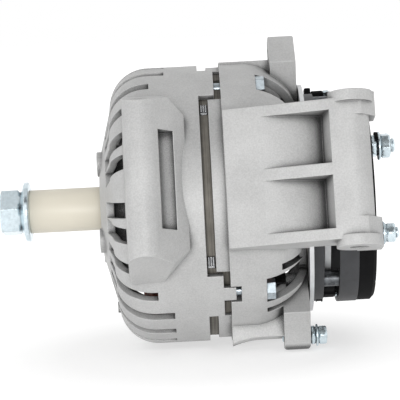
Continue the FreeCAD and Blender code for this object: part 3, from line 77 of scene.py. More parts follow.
@dataclass(frozen=True)
class Value:
    """One output socket of a material, on which Python's operators add Math nodes."""

    graph: "Graph"
    socket: NodeSocket

    def _math(self, operation: str, *values: Operand) -> "Value":
        """Add one Math node, with its operands in order, and return its result."""
        return self.graph.node("ShaderNodeMath", {"operation": operation}, dict(enumerate(values)))

    def __add__(self, other: Operand) -> "Value":
        """Return the sum."""
        return self._math("ADD", self, other)

    __radd__ = __add__

    def __mul__(self, other: Operand) -> "Value":
        """Return the product."""
        return self._math("MULTIPLY", self, other)

    __rmul__ = __mul__

    def __sub__(self, other: Operand) -> "Value":
        """Return the difference."""
        return self._math("SUBTRACT", self, other)

    def __rsub__(self, other: float) -> "Value":
        """Return a number less this value."""
        return self._math("SUBTRACT", other, self)

    def __pow__(self, other: float) -> "Value":
        """Return a power of the value."""
        return self._math("POWER", self, other)

    def sine(self) -> "Value":
        """Return the sine of the value."""
        return self._math("SINE", self)

    def clamp(self) -> "Value":
        """Return the value held between 0 and 1."""
        return self._math("MINIMUM", self._math("MAXIMUM", self, 0.0), 1.0)

    def step(self, low: float, high: float) -> "Value":
        """Return 0 below low, 1 above high and an even ramp between."""
        return ((self - low) * (1.0 / (high - low))).clamp()


class Graph:
    """The node tree of one material or of the world, built through one method."""

    def __init__(self, name: str, world: bool = False) -> None:
        """Start with the output alone.

        Args:
            name: The name of the material or world.
            world: True for a world.
        """
        self.owner = (bpy.data.worlds if world else bpy.data.materials).new(name)
        self.owner.use_nodes = True
        self.tree = self.owner.node_tree
        self.tree.nodes.clear()
        self.output = self.tree.nodes.new("ShaderNodeOutputWorld" if world else "ShaderNodeOutputMaterial")

    def node(self, kind: str, settings: Optional[dict[str, Any]] = None,
             inputs: Optional[dict[Union[str, int], Any]] = None, result: Union[str, int] = 0) -> Value:
        """Add one node.

        Args:
            kind: The node's type name.
            settings: Properties that are set before anything is linked.
            inputs: Values or links of its sockets, by name or number.
            result: The output socket that is returned.

        Returns:
            The chosen output as a value.
        """
        made = self.tree.nodes.new(kind)
        for key, setting in (settings or {}).items():
            setattr(made, key, setting)
        for key, entry in (inputs or {}).items():
            socket = made.inputs[key]
            if isinstance(entry, Value):
                self.tree.links.new(entry.socket, socket)
            elif isinstance(entry, tuple) and len(entry) == 3 and socket.type == "RGBA":
                socket.default_value = (*entry, 1.0)
            else:
                socket.default_value = entry
        return Value(self, made.outputs[result])

    def finish(self, shader: Value) -> Any:
        """Link a shader to the output and return the finished material or world."""
        self.tree.links.new(shader.socket, self.output.inputs["Surface"])
        return self.owner

    def place(self) -> Value:
        """Return the object coordinates, in metres."""
        return self.node("ShaderNodeTexCoord", result="Object")

    def axes(self) -> tuple[Value, Value, Value]:
        """Return the three object coordinates apart."""
        parts = self.node("ShaderNodeSeparateXYZ", {}, {0: self.place()}).socket.node.outputs
        return tuple(Value(self, parts[index]) for index in range(3))

    def noise(self, scale: float, detail: float, roughness: float, stretch: Optional[Point] = None) -> Value:
        """Return a noise pattern on the object coordinates.

        Args:
            scale: Waves per metre.
            detail: Octaves.
            roughness: Share of the finer octaves.
            stretch: Scale along each axis, for brushed grain.

        Returns:
            The pattern, about 0.5 in the middle.
        """
        where = self.place()
        if stretch:
            where = self.node("ShaderNodeMapping", {}, {"Vector": where, "Scale": stretch})
        return self.node("ShaderNodeTexNoise", {}, {
            "Vector": where, "Scale": scale, "Detail": detail, "Roughness": roughness})

    def mix(self, factor: Value, low: Union[Colour, Value], high: Union[Colour, Value]) -> Value:
        """Return a colour between low, at a factor of 0, and high, at 1."""
        return self.node("ShaderNodeMix", {"data_type": "RGBA"}, {0: factor, 6: low, 7: high}, result=2)

    def rounded(self, radius: float) -> Value:
        """Return the normal of the surface with its edges rounded."""
        return self.node("ShaderNodeBevel", {"samples": 6}, {"Radius": radius})

    def hollow(self, reach: float, low: float, high: float, alone: bool = False) -> Value:
        """Return a painted-shade mask: 1 up to a low openness within reach, by all faces or the piece's own, and
        0 from high.
        """
        open_share = self.node("ShaderNodeAmbientOcclusion", {"samples": 6, "only_local": alone},
                               {"Distance": reach}, result="AO")
        return 1.0 - open_share.step(low, high)

    def edge_wear(self, normal: Value, strength: float) -> Value:
        """Return 1 on edges and 0 on flats, by how far a rounded normal leans from the true one; it masks
        painted edge highlights and painted dark edge reflections.
        """
        dot = self.node("ShaderNodeVectorMath", {"operation": "DOT_PRODUCT"},
                        {0: normal, 1: self.node("ShaderNodeNewGeometry", result="Normal")}, result="Value")
        return ((1.0 - dot) * strength).clamp()

    def bump(self, height: Value, depth: float, normal: Optional[Value] = None) -> Value:
        """Return a normal raised by a pattern whose full height is depth, in metres."""
        start = {"Normal": normal} if normal else {}
        return self.node("ShaderNodeBump", {}, {"Height": height, "Distance": depth, "Strength": 1.0, **start})

    def surface(self, **sockets: Any) -> Material:
        """Finish the material with one Principled shader, its sockets named with _ for a space."""
        inputs = {key.replace("_", " "): entry for key, entry in sockets.items()}
        return self.finish(self.node("ShaderNodeBsdfPrincipled", {}, inputs))


# Finishes


@dataclass(frozen=True)
class CastMetal:
    """Sand-cast aluminium: pale and finely grained, with painted highlights along its edges and painted shade in
    its crevices and cavities.
    """

    name: str = "cast_metal"
    colour: Colour = (0.60, 0.60, 0.595)
    shade: Colour = (0.44, 0.44, 0.438)
    # Colour of the painted highlight along edges.
    edge: Colour = (0.77, 0.77, 0.765)
    # Colour of the painted shade in crevices and cavities.
    soot: Colour = (0.018, 0.018, 0.018)
    roughness: float = 0.5
    metallic: float = 0.35
    cloud: float = 38.0
    pit: float = 560.0
    grain: float = 1250.0
    grain_depth: float = 0.00016
    edge_radius: float = 0.0009
    crevice_reach: float = 0.005
    cavity_reach: float = 0.060
    # Radii over which the all-faces painted shade fades out towards the outer shell.
    shell: Pair = (0.066, 0.074)

    def make(self) -> Material:
        """Lay out the finish's nodes.

        Returns:
            The finished material.
        """
        graph = Graph(self.name)
        soft = graph.rounded(self.edge_radius)
        cloud = graph.noise(self.cloud, 4.0, 0.6)
        sand = graph.noise(self.grain, 2.0, 0.6)
        coarse = graph.noise(self.pit, 3.0, 0.6)
        body = graph.mix(cloud.step(0.35, 0.7) * 0.5 + sand.step(0.36, 0.64) * 0.5, self.shade, self.colour)
        pitted = graph.mix(coarse.step(0.60, 0.78) * 0.45, body, self.shade)
        # Painted shade: crevices darkened by ambient occlusion within a few millimetres.
        crevice = graph.mix(graph.hollow(self.crevice_reach, 0.50, 0.90) * 0.75, pitted, self.soot)
        # Painted highlight: edges lightened towards the edge colour.
        edge_highlit = graph.mix(graph.edge_wear(soft, 3.2) * 0.7, crevice, self.edge)
        # Painted shade inside the housing: cavities darkened by ambient occlusion of the piece's own faces, and
        # of all faces inside the shell's radius.
        _, y, z = graph.axes()
        within = 1.0 - (((y - SHAFT_Y) ** 2.0 + z ** 2.0) ** 0.5).step(*self.shell)
        own = graph.hollow(self.cavity_reach, 0.14, 0.50, alone=True)
        inside = (own + graph.hollow(self.cavity_reach, 0.04, 0.30) * within).clamp()
        colour = graph.mix(inside * 0.97, edge_highlit, self.soot)
        height = sand * 0.6 + coarse * 0.8
        return graph.surface(Base_Color=colour, Metallic=self.metallic, Specular_IOR_Level=0.3,
                             Roughness=self.roughness + (sand - 0.5) * 0.25 + cloud * 0.08,
                             Normal=graph.bump(height, self.grain_depth, soft))


@dataclass(frozen=True)
class Laminations:
    """Stacked sheet edges: fine rings across the shaft with a brown-grey bloom, and painted shade in their
    crevices.
    """

    name: str = "laminations"
    colour: Colour = (0.30, 0.28, 0.245)
    dark: Colour = (0.09, 0.083, 0.072)
    # Colour of the painted shade in crevices.
    soot: Colour = (0.012, 0.011, 0.01)
    pitch: float = 0.0007
    bloom: float = 55.0
    smear: Point = (900.0, 14.0, 14.0)

    def make(self) -> Material:
        """Lay out the finish's nodes.

        Returns:
            The finished material.
        """
        graph = Graph(self.name)
        along, _, _ = graph.axes()
        ridge = (along * (2.0 * math.pi / self.pitch)).sine() * 0.5 + 0.5
        bloom = graph.noise(self.bloom, 4.0, 0.65)
        bands = graph.noise(1.0, 2.0, 0.7, self.smear)
        base = graph.mix(bloom.step(0.3, 0.65) * 0.5 + bands.step(0.38, 0.58) * 0.5, self.dark, self.colour)
        lined = graph.mix((1.0 - ridge) * 0.35, base, self.dark)
        # Painted shade: crevices darkened by ambient occlusion.
        colour = graph.mix(graph.hollow(0.003, 0.35, 0.8) * 0.9, lined, self.soot)
        return graph.surface(Base_Color=colour, Metallic=0.4, Roughness=0.5 + bloom * 0.2,
                             Normal=graph.bump(ridge * 0.4 + bands, 0.00025, graph.rounded(0.0003)))


@dataclass(frozen=True)
class PlatedSteel:
    """Bright plated or turned steel with faint turning lines round its own surface, painted dark reflections
    along its edges and painted shade in its crevices.
    """

    name: str = "plated_steel"
    colour: Colour = (0.74, 0.84, 0.89)
    dull: Colour = (0.62, 0.72, 0.77)
    dark: Colour = (0.02, 0.024, 0.03)
    roughness: float = 0.16
    metallic: float = 0.88
    blotch: float = 420.0
    turning: float = 3400.0
    edge_radius: float = 0.0006
    # Strength of the painted dark reflection along edges.
    seam: float = 0.75

    def make(self) -> Material:
        """Lay out the finish's nodes.

        Returns:
            The finished material.
        """
        graph = Graph(self.name)
        soft = graph.rounded(self.edge_radius)
        spots = graph.noise(self.blotch, 4.0, 0.6)
        fine = graph.noise(self.turning, 2.0, 0.5, stretch=(1.0, 0.25, 0.25))
        plain = graph.mix(spots.step(0.36, 0.62), self.dull, self.colour)
        # Painted reflection: edges darkened as if they mirrored something dark.
        edged = graph.mix(graph.edge_wear(soft, 3.0) * self.seam, plain, self.dark)
        # Painted shade: crevices darkened by ambient occlusion.
        colour = graph.mix(graph.hollow(0.003, 0.15, 0.72) * 0.9, edged, self.dark)
        return graph.surface(Base_Color=colour, Metallic=self.metallic,
                             Roughness=self.roughness + spots * 0.12 + (fine - 0.5) * 0.1,
                             Normal=graph.bump(fine, 0.00002, soft))


@dataclass(frozen=True)
class Moulding:
    """Moulded plastic or rubber: fine spark texture, soft blotches and a painted highlight along its edges."""

    name: str = "moulding"
    colour: Colour = (0.045, 0.045, 0.047)
    # Colour of the painted highlight along edges.
    edge: Colour = (0.12, 0.12, 0.12)
    roughness: float = 0.5
    texture: float = 1500.0
    blotch: float = 70.0
    depth: float = 0.00004
    edge_radius: float = 0.0005
    gloss: float = 0.5
    bloom: float = 0.35

    def make(self) -> Material:
        """Lay out the finish's nodes.

        Returns:
            The finished material.
        """
        graph = Graph(self.name)
        soft = graph.rounded(self.edge_radius)
        spark = graph.noise(self.texture, 2.0, 0.5)
        patches = graph.noise(self.blotch, 3.0, 0.6)
        lighter = tuple(min(part * (1.0 + self.bloom) + 0.01 * self.bloom, 1.0) for part in self.colour)
        base = graph.mix(patches.step(0.35, 0.75), self.colour, lighter)
        # Painted highlight: edges lightened towards the edge colour.
        colour = graph.mix(graph.edge_wear(soft, 1.5), base, self.edge)
        return graph.surface(Base_Color=colour, Roughness=self.roughness + (spark - 0.5) * 0.25,
                             Specular_IOR_Level=self.gloss, Normal=graph.bump(spark, self.depth, soft))


@dataclass(frozen=True)
class LacqueredWire:
    """Varnished copper wire: deep red-brown with a glossy coat and uneven pooling."""

    name: str = "lacquered_wire"
    colour: Colour = (0.17, 0.045, 0.022)
    dark: Colour = (0.045, 0.015, 0.010)
    roughness: float = 0.32
    pooling: float = 210.0
    ripple: float = 900.0

    def make(self) -> Material:
        """Lay out the finish's nodes.

        Returns:
            The finished material.
        """
        graph = Graph(self.name)
        pool = graph.noise(self.pooling, 4.0, 0.6)
        colour = graph.mix(pool.step(0.3, 0.7), self.dark, self.colour)
        return graph.surface(Base_Color=colour, Metallic=0.35, Coat_Weight=0.5,
                             Roughness=self.roughness + pool * 0.2,
                             Normal=graph.bump(graph.noise(self.ripple, 2.0, 0.5), 0.00008))


class Finish(Enum):
    """Every finish on the alternator; all but the last two are named for the record's material slots, and those
    two are darkened plated steel as painted shade.
    """

    CAST_ALUMINIUM = CastMetal()
    LAMINATION = Laminations()
    WINDING = LacqueredWire()
    ZINC_STEEL = PlatedSteel()
    BEARING_STEEL = PlatedSteel("ground_steel", (0.58, 0.59, 0.60), (0.36, 0.36, 0.37), roughness=0.2)
    SEAL_RUBBER = Moulding("seal_rubber", (0.012, 0.012, 0.012), (0.04, 0.04, 0.04), roughness=0.6, gloss=0.2)
    POLE_STEEL = PlatedSteel("pole_steel", (0.12, 0.117, 0.115), (0.045, 0.042, 0.04), roughness=0.45,
                             metallic=0.6)
    SHEET_ALUMINIUM = PlatedSteel("sheet_metal", (0.80, 0.81, 0.82), (0.70, 0.71, 0.72), roughness=0.38,
                                  metallic=0.5, blotch=80.0, edge_radius=0.0003)
    DIODE_CASE = PlatedSteel("diode_case", (0.50, 0.47, 0.43), (0.34, 0.32, 0.30), roughness=0.35)
    COPPER_ALLOY = PlatedSteel("ring_copper", (0.72, 0.38, 0.22), (0.50, 0.24, 0.14), roughness=0.28)
    CARBON = Moulding("brush_carbon", (0.03, 0.03, 0.032), (0.09, 0.09, 0.09), roughness=0.45)
    DARK_PLASTIC = Moulding("dark_moulding", (0.040, 0.041, 0.044), (0.13, 0.13, 0.135), gloss=0.35)
    BLACK_PLASTIC = Moulding("black_moulding", (0.007, 0.007, 0.0075), (0.03, 0.03, 0.031), roughness=0.68,
                             gloss=0.05, bloom=0.2)
    CREAM_PLASTIC = Moulding("cream_moulding", (0.74, 0.695, 0.585), (0.80, 0.76, 0.66), roughness=0.38,
                             texture=700.0, depth=0.00002, bloom=0.03)
    # A darker copy of the plated steel, as painted shade on the through-bolt heads inside the windows.
    BOLT = PlatedSteel("shaded_bolt_steel", (0.50, 0.56, 0.60), (0.36, 0.41, 0.44), roughness=0.24)
    # A much darker copy of the plated steel, as painted shade on the cover spacers in the gap behind the cover.
    SPACER = PlatedSteel("shaded_spacer_steel", (0.16, 0.17, 0.18), (0.06, 0.06, 0.065), roughness=0.3)

    @cache
    def material(self) -> Material:
        """Return the finish's material, made when it is first asked for."""
        return self.value.make()


# Through-bolts and cover spacers take darkened copies of the plated steel, as painted shade.
NODE_FINISH: dict[str, Finish] = {
    "output_stud_bush": Finish.BLACK_PLASTIC, "cover_spacers": Finish.SPACER,
    "through_bolts": Finish.BOLT, "front_fan": Finish.POLE_STEEL,
}


def paint(piece: Object, finish: Finish) -> None:
    """Give an object one finish all over."""
    piece.data.materials.clear()
    piece.data.materials.append(finish.material())


def present(name: str, data: ID) -> Object:
    """Put a mesh, a light or a camera in the scene and return its object."""
    bpy.context.scene.collection.objects.link(made := bpy.data.objects.new(name, data))
    return made


# Surfaces


@dataclass(frozen=True)
class Patch:
    """A grid of points, closed round its second side and capped or joined along its first."""

    points: Array
    closed_along: bool = False

    def mesh_arrays(self) -> tuple[Array, list[tuple[int, ...]]]:
        """Work out the mesh; an end that isn't joined gets a flat cap.

        Returns:
            The vertices and the faces.
        """
        rows, columns, _ = self.points.shape
        index = np.arange(rows * columns).reshape(rows, columns)
        low = index if self.closed_along else index[:-1]
        high = np.roll(index, -1, axis=0)[:len(low)]
        quads = np.stack([low, np.roll(low, -1, axis=1), np.roll(high, -1, axis=1), high], axis=-1)
        faces = [tuple(quad) for quad in quads.reshape(-1, 4).tolist()]
        if not self.closed_along:
            faces += [tuple(index[0][::-1].tolist()), tuple(index[-1].tolist())]
        return self.points.reshape(-1, 3), faces


def build(name: str, patches: Sequence[Patch], body: str, slot: str, instead_of: Optional[str] = None,
          finish: Optional[Finish] = None, smooth_angle: float = 35.0) -> Object:
    """Make one object of several closed grids, with its faces pointing outwards.

    Args:
        name: The piece's name.
        patches: Its grids, each a closed surface.
        body: The body that it rides on.
        slot: The record's material slot.
        instead_of: The CAD node that it replaces, if any.
        finish: Its finish, where it isn't the slot's own.
        smooth_angle: Edges sharper than this stay sharp, in degrees.

    Returns:
        The object.
    """
    vertices: list[Array] = []
    faces: list[tuple[int, ...]] = []
    start = 0
    for patch in patches:
        points, own = patch.mesh_arrays()
        vertices.append(points)
        faces.extend(tuple(corner + start for corner in face) for face in own)
        start += len(points)
    mesh = bpy.data.meshes.new(name)
    mesh.from_pydata(np.concatenate(vertices).tolist(), [], faces)
    mesh.validate()
    piece = present(name, mesh)
    work = bmesh.new()
    work.from_mesh(mesh)
    bmesh.ops.remove_doubles(work, verts=work.verts, dist=MERGE)
    bmesh.ops.recalc_face_normals(work, faces=work.faces)
    work.to_mesh(mesh)
    work.free()
    mesh.polygons.foreach_set("use_smooth", np.ones(len(mesh.polygons), dtype=bool))
    mesh.set_sharp_from_angle(angle=math.radians(smooth_angle))
    paint(piece, finish or Finish[slot.upper()])
    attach(piece, body)
    if instead_of:
        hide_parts(instead_of)
    return piece


def lathe(stations: Sequence[Pair], segments: int, centre: Point = SHAFT, radius: Optional[Rule] = None,
          closed: bool = False) -> Patch:
    """Turn a profile about a line along X.

    The point at x and angle t is (x, cy + r cos t, cz + r sin t), where r is the profile's radius,
    changed by the optional function of x, r and t.

    Args:
        stations: Pairs of x and radius, in metres.
        segments: Columns round the line.
        centre: The line's place; its x is added to the profile's.
        radius: Changes the radius by place and angle.
        closed: True when the profile joins its start, as on a ring.

    Returns:
        The grid.
    """
    profile = np.asarray(stations, dtype=float)
    turn = np.linspace(0.0, 2.0 * math.pi, segments, endpoint=False)
    x, t = np.meshgrid(profile[:, 0], turn, indexing="ij")
    r = np.repeat(profile[:, 1:2], segments, axis=1)
    if radius is not None:
        r = radius(x, r, t)
    points = np.stack([x + centre[0], centre[1] + r * np.cos(t), centre[2] + r * np.sin(t)], axis=-1)
    return Patch(points, closed)


def from_flat(t: Array, turn: float = 0.0) -> Array:
    """Return the angle from the nearest of six flats, one of which lies at turn, in radians."""
    sixth = math.pi / 3.0
    return (t - turn + sixth / 2.0) % sixth - sixth / 2.0


def hex_radius(flats: float, turn: float) -> Rule:
    """Return a rule that holds a round profile inside a hexagon.

    The hexagon's edge lies at (flats / 2) / cos(a), where a is the angle from the nearest flat; the
    smaller of that and the profile's own radius counts, so a cone on the profile chamfers the corners.

    Args:
        flats: Distance across the flats.
        turn: The angle of one flat, in degrees.

    Returns:
        The rule, for lathe().
    """
    def rule(_: Array, r: Array, t: Array) -> Array:
        """Return the smaller of the hexagon's radius and the profile's."""
        edge = (flats / 2.0) / np.cos(from_flat(t, math.radians(turn)))
        return np.where(r > flats * 0.40, np.minimum(r, edge), r)
    return rule


def thread_radius(pitch: float, depth: float, start: float, end: float) -> Rule:
    """Return a rule that cuts a helical thread into a round profile.

    The depth follows a triangle wave of x / pitch - t / 2 pi, and fades out at both ends.

    Args:
        pitch: The thread's pitch.
        depth: Its depth.
        start: Where the thread begins.
        end: Where it ends.

    Returns:
        The rule, for lathe().
    """
    def rule(x: Array, r: Array, t: Array) -> Array:
        """Return the radius less the thread's depth."""
        wave = np.abs((x / pitch - t / (2.0 * math.pi)) % 1.0 - 0.5) * 2.0
        return r - depth * wave * np.clip((x - start) / pitch, 0.0, 1.0) * np.clip((end - x) / pitch, 0.0, 1.0)
    return rule


def tube(path: Array, radius: float, sides: int) -> Patch:
    """Carry a circle along an open path.

    At each point the circle lies across the path's direction, on an axis away from the path's middle.

    Args:
        path: Points, one per row.
        radius: The circle's radius.
        sides: Corners of the circle.

    Returns:
        The grid.
    """
    along = np.gradient(path, axis=0)
    along = along / np.linalg.norm(along, axis=1, keepdims=True)
    side = np.cross(along, path - path.mean(axis=0) + np.array([0.0, 0.0, 1e-6]))
    side = side / np.maximum(np.linalg.norm(side, axis=1, keepdims=True), 1e-12)
    up = np.cross(side, along)
    turn = np.linspace(0.0, 2.0 * math.pi, sides, endpoint=False)
    ring = side[:, None] * np.cos(turn)[:, None] + up[:, None] * np.sin(turn)[:, None]
    return Patch(path[:, None] + ring * radius)


def arc_block(span: Pair, radii: Pair, middle: float, spread: Pair, soft: float = 0.0003) -> Patch:
    """Carry a rounded rectangle round the shaft's axis.

    The rectangle lies in x and radius; at angle t from the mounting side towards +Z its points go to
    (x, axis - r cos t, r sin t). It shrinks by the softening at both ends.

    Args:
        span: First and last x.
        radii: Inner and outer radius.
        middle: An angle, in degrees.
        spread: How far from it the first and the last angle lie.
        soft: How far corners and ends are softened.

    Returns:
        The closed grid.
    """
    x0, x1 = span
    r0, r1 = radii
    ring = np.array([(x0 + soft, r0), (x1 - soft, r0), (x1, r0 + soft), (x1, r1 - soft), (x1 - soft, r1),
                     (x0 + soft, r1), (x0, r1 - soft), (x0, r0 + soft)])
    turn = np.radians(np.linspace(middle + spread[0], middle + spread[1], 14))
    turn = np.insert(turn, [1, 13], [turn[0] + soft / r1, turn[-1] - soft / r1])
    shrink = np.ones(len(turn))
    shrink[0] = shrink[-1] = 1.0 - soft / max(x1 - x0, r1 - r0)
    profile = ring.mean(axis=0) + (ring - ring.mean(axis=0)) * shrink[:, None, None]
    x, r = profile[..., 0], profile[..., 1]
    t = turn[:, None]
    return Patch(np.stack([x, SHAFT_Y - r * np.cos(t), r * np.sin(t)], axis=-1))


# Pieces


@dataclass(frozen=True)
class Terminal:
    """One stud's axis, as y and z, with the hole and the thread that its nuts and washers share."""

    place: Pair
    bore: float
    pitch: float
    chamfer: float = 0.0009
    columns: int = 72

    def nut(self, x: float, height: float, flats: float, turn: float) -> Patch:
        """Make one hexagon nut with chamfered corners at both faces.

        Args:
            x: Its first face.
            height: Its height.
            flats: Distance across the flats.
            turn: Angle of one flat, in degrees.

        Returns:
            The closed grid.
        """
        corner, face, lip, bore = flats / math.sqrt(3.0), flats / 2.0 * 0.95, self.chamfer * 0.5, self.bore
        stations = [(0.0, face), (self.chamfer, corner), (height - self.chamfer, corner), (height, face),
                    (height, bore + lip), (height - lip, bore), (lip, bore), (0.0, bore + lip)]
        return lathe(stations, self.columns, (x, *self.place), hex_radius(flats, turn), closed=True)

    def washer(self, x: float, height: float, outer: float) -> Patch:
        """Make one washer with softened rims.

        Args:
            x: Its first face.
            height: Its thickness.
            outer: Outer radius.

        Returns:
            The closed grid.
        """
        soft = height * 0.22
        stations = [(0.0, outer - soft), (soft, outer), (height - soft, outer), (height, outer - soft),
                    (height, self.bore), (0.0, self.bore)]
        return lathe(stations, self.columns, (x, *self.place), closed=True)

    def stud(self, stations: Sequence[Pair], start: float, end: float) -> Patch:
        """Make one threaded rod whose profile is given by a few stations.

        Args:
            stations: Pairs of x and radius.
            start: Where the thread begins.
            end: Where it ends.

        Returns:
            The closed grid.
        """
        plain = np.asarray(stations, dtype=float)
        fine = np.linspace(start, end, int((end - start) / self.pitch * 8.0))
        radius = np.interp(fine, plain[:, 0], plain[:, 1])
        full = np.concatenate([plain[plain[:, 0] < start], np.stack([fine, radius], axis=1),
                               plain[plain[:, 0] > end]])
        rule = thread_radius(self.pitch, self.pitch * 0.55, start, end)
        return lathe(full.tolist(), 36, (0.0, *self.place), rule)


@dataclass
class Hardware:
    """Nuts, washers, studs and screws at the terminals, the lower side lug and the rear cover."""

    output: Terminal = Terminal((SHAFT_Y - 0.038, 0.0214), bore=0.00403, pitch=0.00125)
    lug: Terminal = Terminal((SHAFT_Y - 0.020, -0.0815), bore=0.00303, pitch=0.001)
    ground: Terminal = Terminal((0.006, -0.0342), bore=0.00303, pitch=0.001)
    screw_places: tuple[Pair, ...] = ((0.06663, 0.05024), (0.14346, 0.00765), (0.06663, -0.05024))
    jam_flats: float = 0.0112
    m8_flats: float = 0.0126
    m8_washer: float = 0.008
    m6_flats: float = 0.010
    m6_washer: float = 0.0062
    m6_nut: float = 0.0048
    jam_turn: float = 30.0
    output_turn: float = -10.0
    m6_turn: float = 38.0

    def steel(self, node: str, grids: Sequence[Patch], name: Optional[str] = None) -> Object:
        """Build one plated piece of the housing in a node's place and return it."""
        return build(name or node + "_cut", grids, "housing", "zinc_steel", node)

    def output_terminal(self) -> Pieces:
        """Build the output stud with its two nuts and washer.

        Returns:
            The pieces.
        """
        low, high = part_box("output_stud_nuts")
        start, end = (corner.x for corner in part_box("output_stud_washer"))
        nuts = [self.output.nut(low.x, start - low.x, self.jam_flats, self.jam_turn),
                self.output.nut(end, high.x - end, self.m8_flats, self.output_turn)]
        washer = [self.output.washer(start, end - start, self.m8_washer)]
        low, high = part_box("output_stud")
        head, head_end, radius, soft = 0.007, low.x + 0.0018, 0.004, 0.0008
        rod = [(low.x, head), (head_end, head), (head_end + 0.00001, radius), (high.x - soft, radius),
               (high.x, radius - soft)]
        stud = [self.output.stud(rod, low.x + 0.02, high.x - 0.0009)]
        return [self.steel("output_stud_nuts", nuts), self.steel("output_stud_washer", washer),
                self.steel("output_stud", stud)]

    def lug_terminal(self) -> Pieces:
        """Build the lower side lug's stud with its two nuts and washer.

        Returns:
            The pieces.
        """
        low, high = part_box("lug_stud")
        radius, foot, tip = 0.003, 0.0026, 0.0024
        rod = [(low.x, foot), (low.x + 0.0005, radius), (high.x - 0.0006, radius), (high.x, tip)]
        stud = [self.lug.stud(rod, low.x + 0.0006, high.x - 0.0007)]
        low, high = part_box("lug_nuts")
        back, front = 0.003, 0.0046
        nuts = [self.lug.nut(low.x, back, self.m6_flats, self.jam_turn),
                self.lug.nut(high.x - front, front, self.m6_flats, self.m6_turn)]
        low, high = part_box("lug_washer")
        washer = [self.lug.washer(low.x, high.x - low.x, self.m6_washer)]
        return [self.steel("lug_stud", stud), self.steel("lug_nuts", nuts), self.steel("lug_washer", washer)]

    def ground_terminal(self) -> Pieces:
        """Build the ground stud with its nut and two washers.

        Returns:
            The pieces.
        """
        low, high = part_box("ground_washer")
        spring, spring_outer = 0.0007, 0.0052
        washers = [self.ground.washer(low.x, high.x - low.x, self.m6_washer),
                   self.ground.washer(high.x, spring, spring_outer)]
        nut_start = high.x + 0.0008
        start, end, radius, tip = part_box("ground_bolt")[0].x, nut_start + 0.0066, 0.003, 0.0024
        rod = [(start, radius), (end - 0.0006, radius), (end, tip)]
        stud = [self.ground.nut(nut_start, self.m6_nut, self.m6_flats, self.m6_turn),
                self.ground.stud(rod, start + 0.001, end - 0.0007)]
        return [self.steel("ground_washer", washers, "ground_washers"),
                self.steel("ground_bolt", stud, "ground_stud_and_nut")]

    def cover_screws(self) -> Object:
        """Build the three cover screws, each with a hexagon socket in its head.

        Returns:
            The piece.
        """
        low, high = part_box("cover_screws")
        head, shank, socket, soft = 0.0034, 0.0025, 0.0017, 0.0002
        top, bottom, floor = high.x, high.x - 0.0032, high.x - 0.0018
        stations = [(floor, socket), (top - soft, socket), (top, socket + soft), (top, head - 0.0007),
                    (top - 0.0006, head), (bottom, head), (bottom, shank), (low.x, shank)]

        def rule(x: Array, r: Array, t: Array) -> Array:
            """Give the socket six flats."""
            inside = (r < socket + 1.5 * soft) & (x > floor - soft)
            return np.where(inside, r * 0.9 / np.cos(from_flat(t)), r)

        grids = [lathe(stations, 36, (0.0, y, z), rule) for y, z in self.screw_places]
        return self.steel("cover_screws", grids, "cover_screws_turned")

    def tongue(self) -> Object:
        """Build a black arc over the top of the output stud's inner nut, as a painted dark reflection on its
        upper facets.

        Its section is a rectangle in x and radius, carried round the stud's axis as lathe() does.

        Returns:
            The piece.
        """
        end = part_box("output_stud_washer")[0].x - 0.0002
        start, inner, outer = end - 0.0014, 0.0064, 0.0079
        ring = np.array([(start, inner), (end, inner), (end, outer), (start, outer)])
        t = np.radians(np.linspace(40.0, 150.0, 20))[:, None]
        x, r = np.repeat(ring[None, :, 0], len(t), axis=0), ring[None, :, 1]
        y, z = self.output.place
        points = np.stack([x, y + r * np.cos(t), z + r * np.sin(t)], axis=-1)
        # Painted reflection: a black arc standing for the dark upper facets of the inner nut.
        return build("output_nut_painted_reflection", [Patch(points)], "housing", "black_plastic")

    def make(self) -> Pieces:
        """Build all the hardware and return its pieces."""
        return [*self.output_terminal(), *self.lug_terminal(), *self.ground_terminal(), self.cover_screws(),
                self.tongue()]


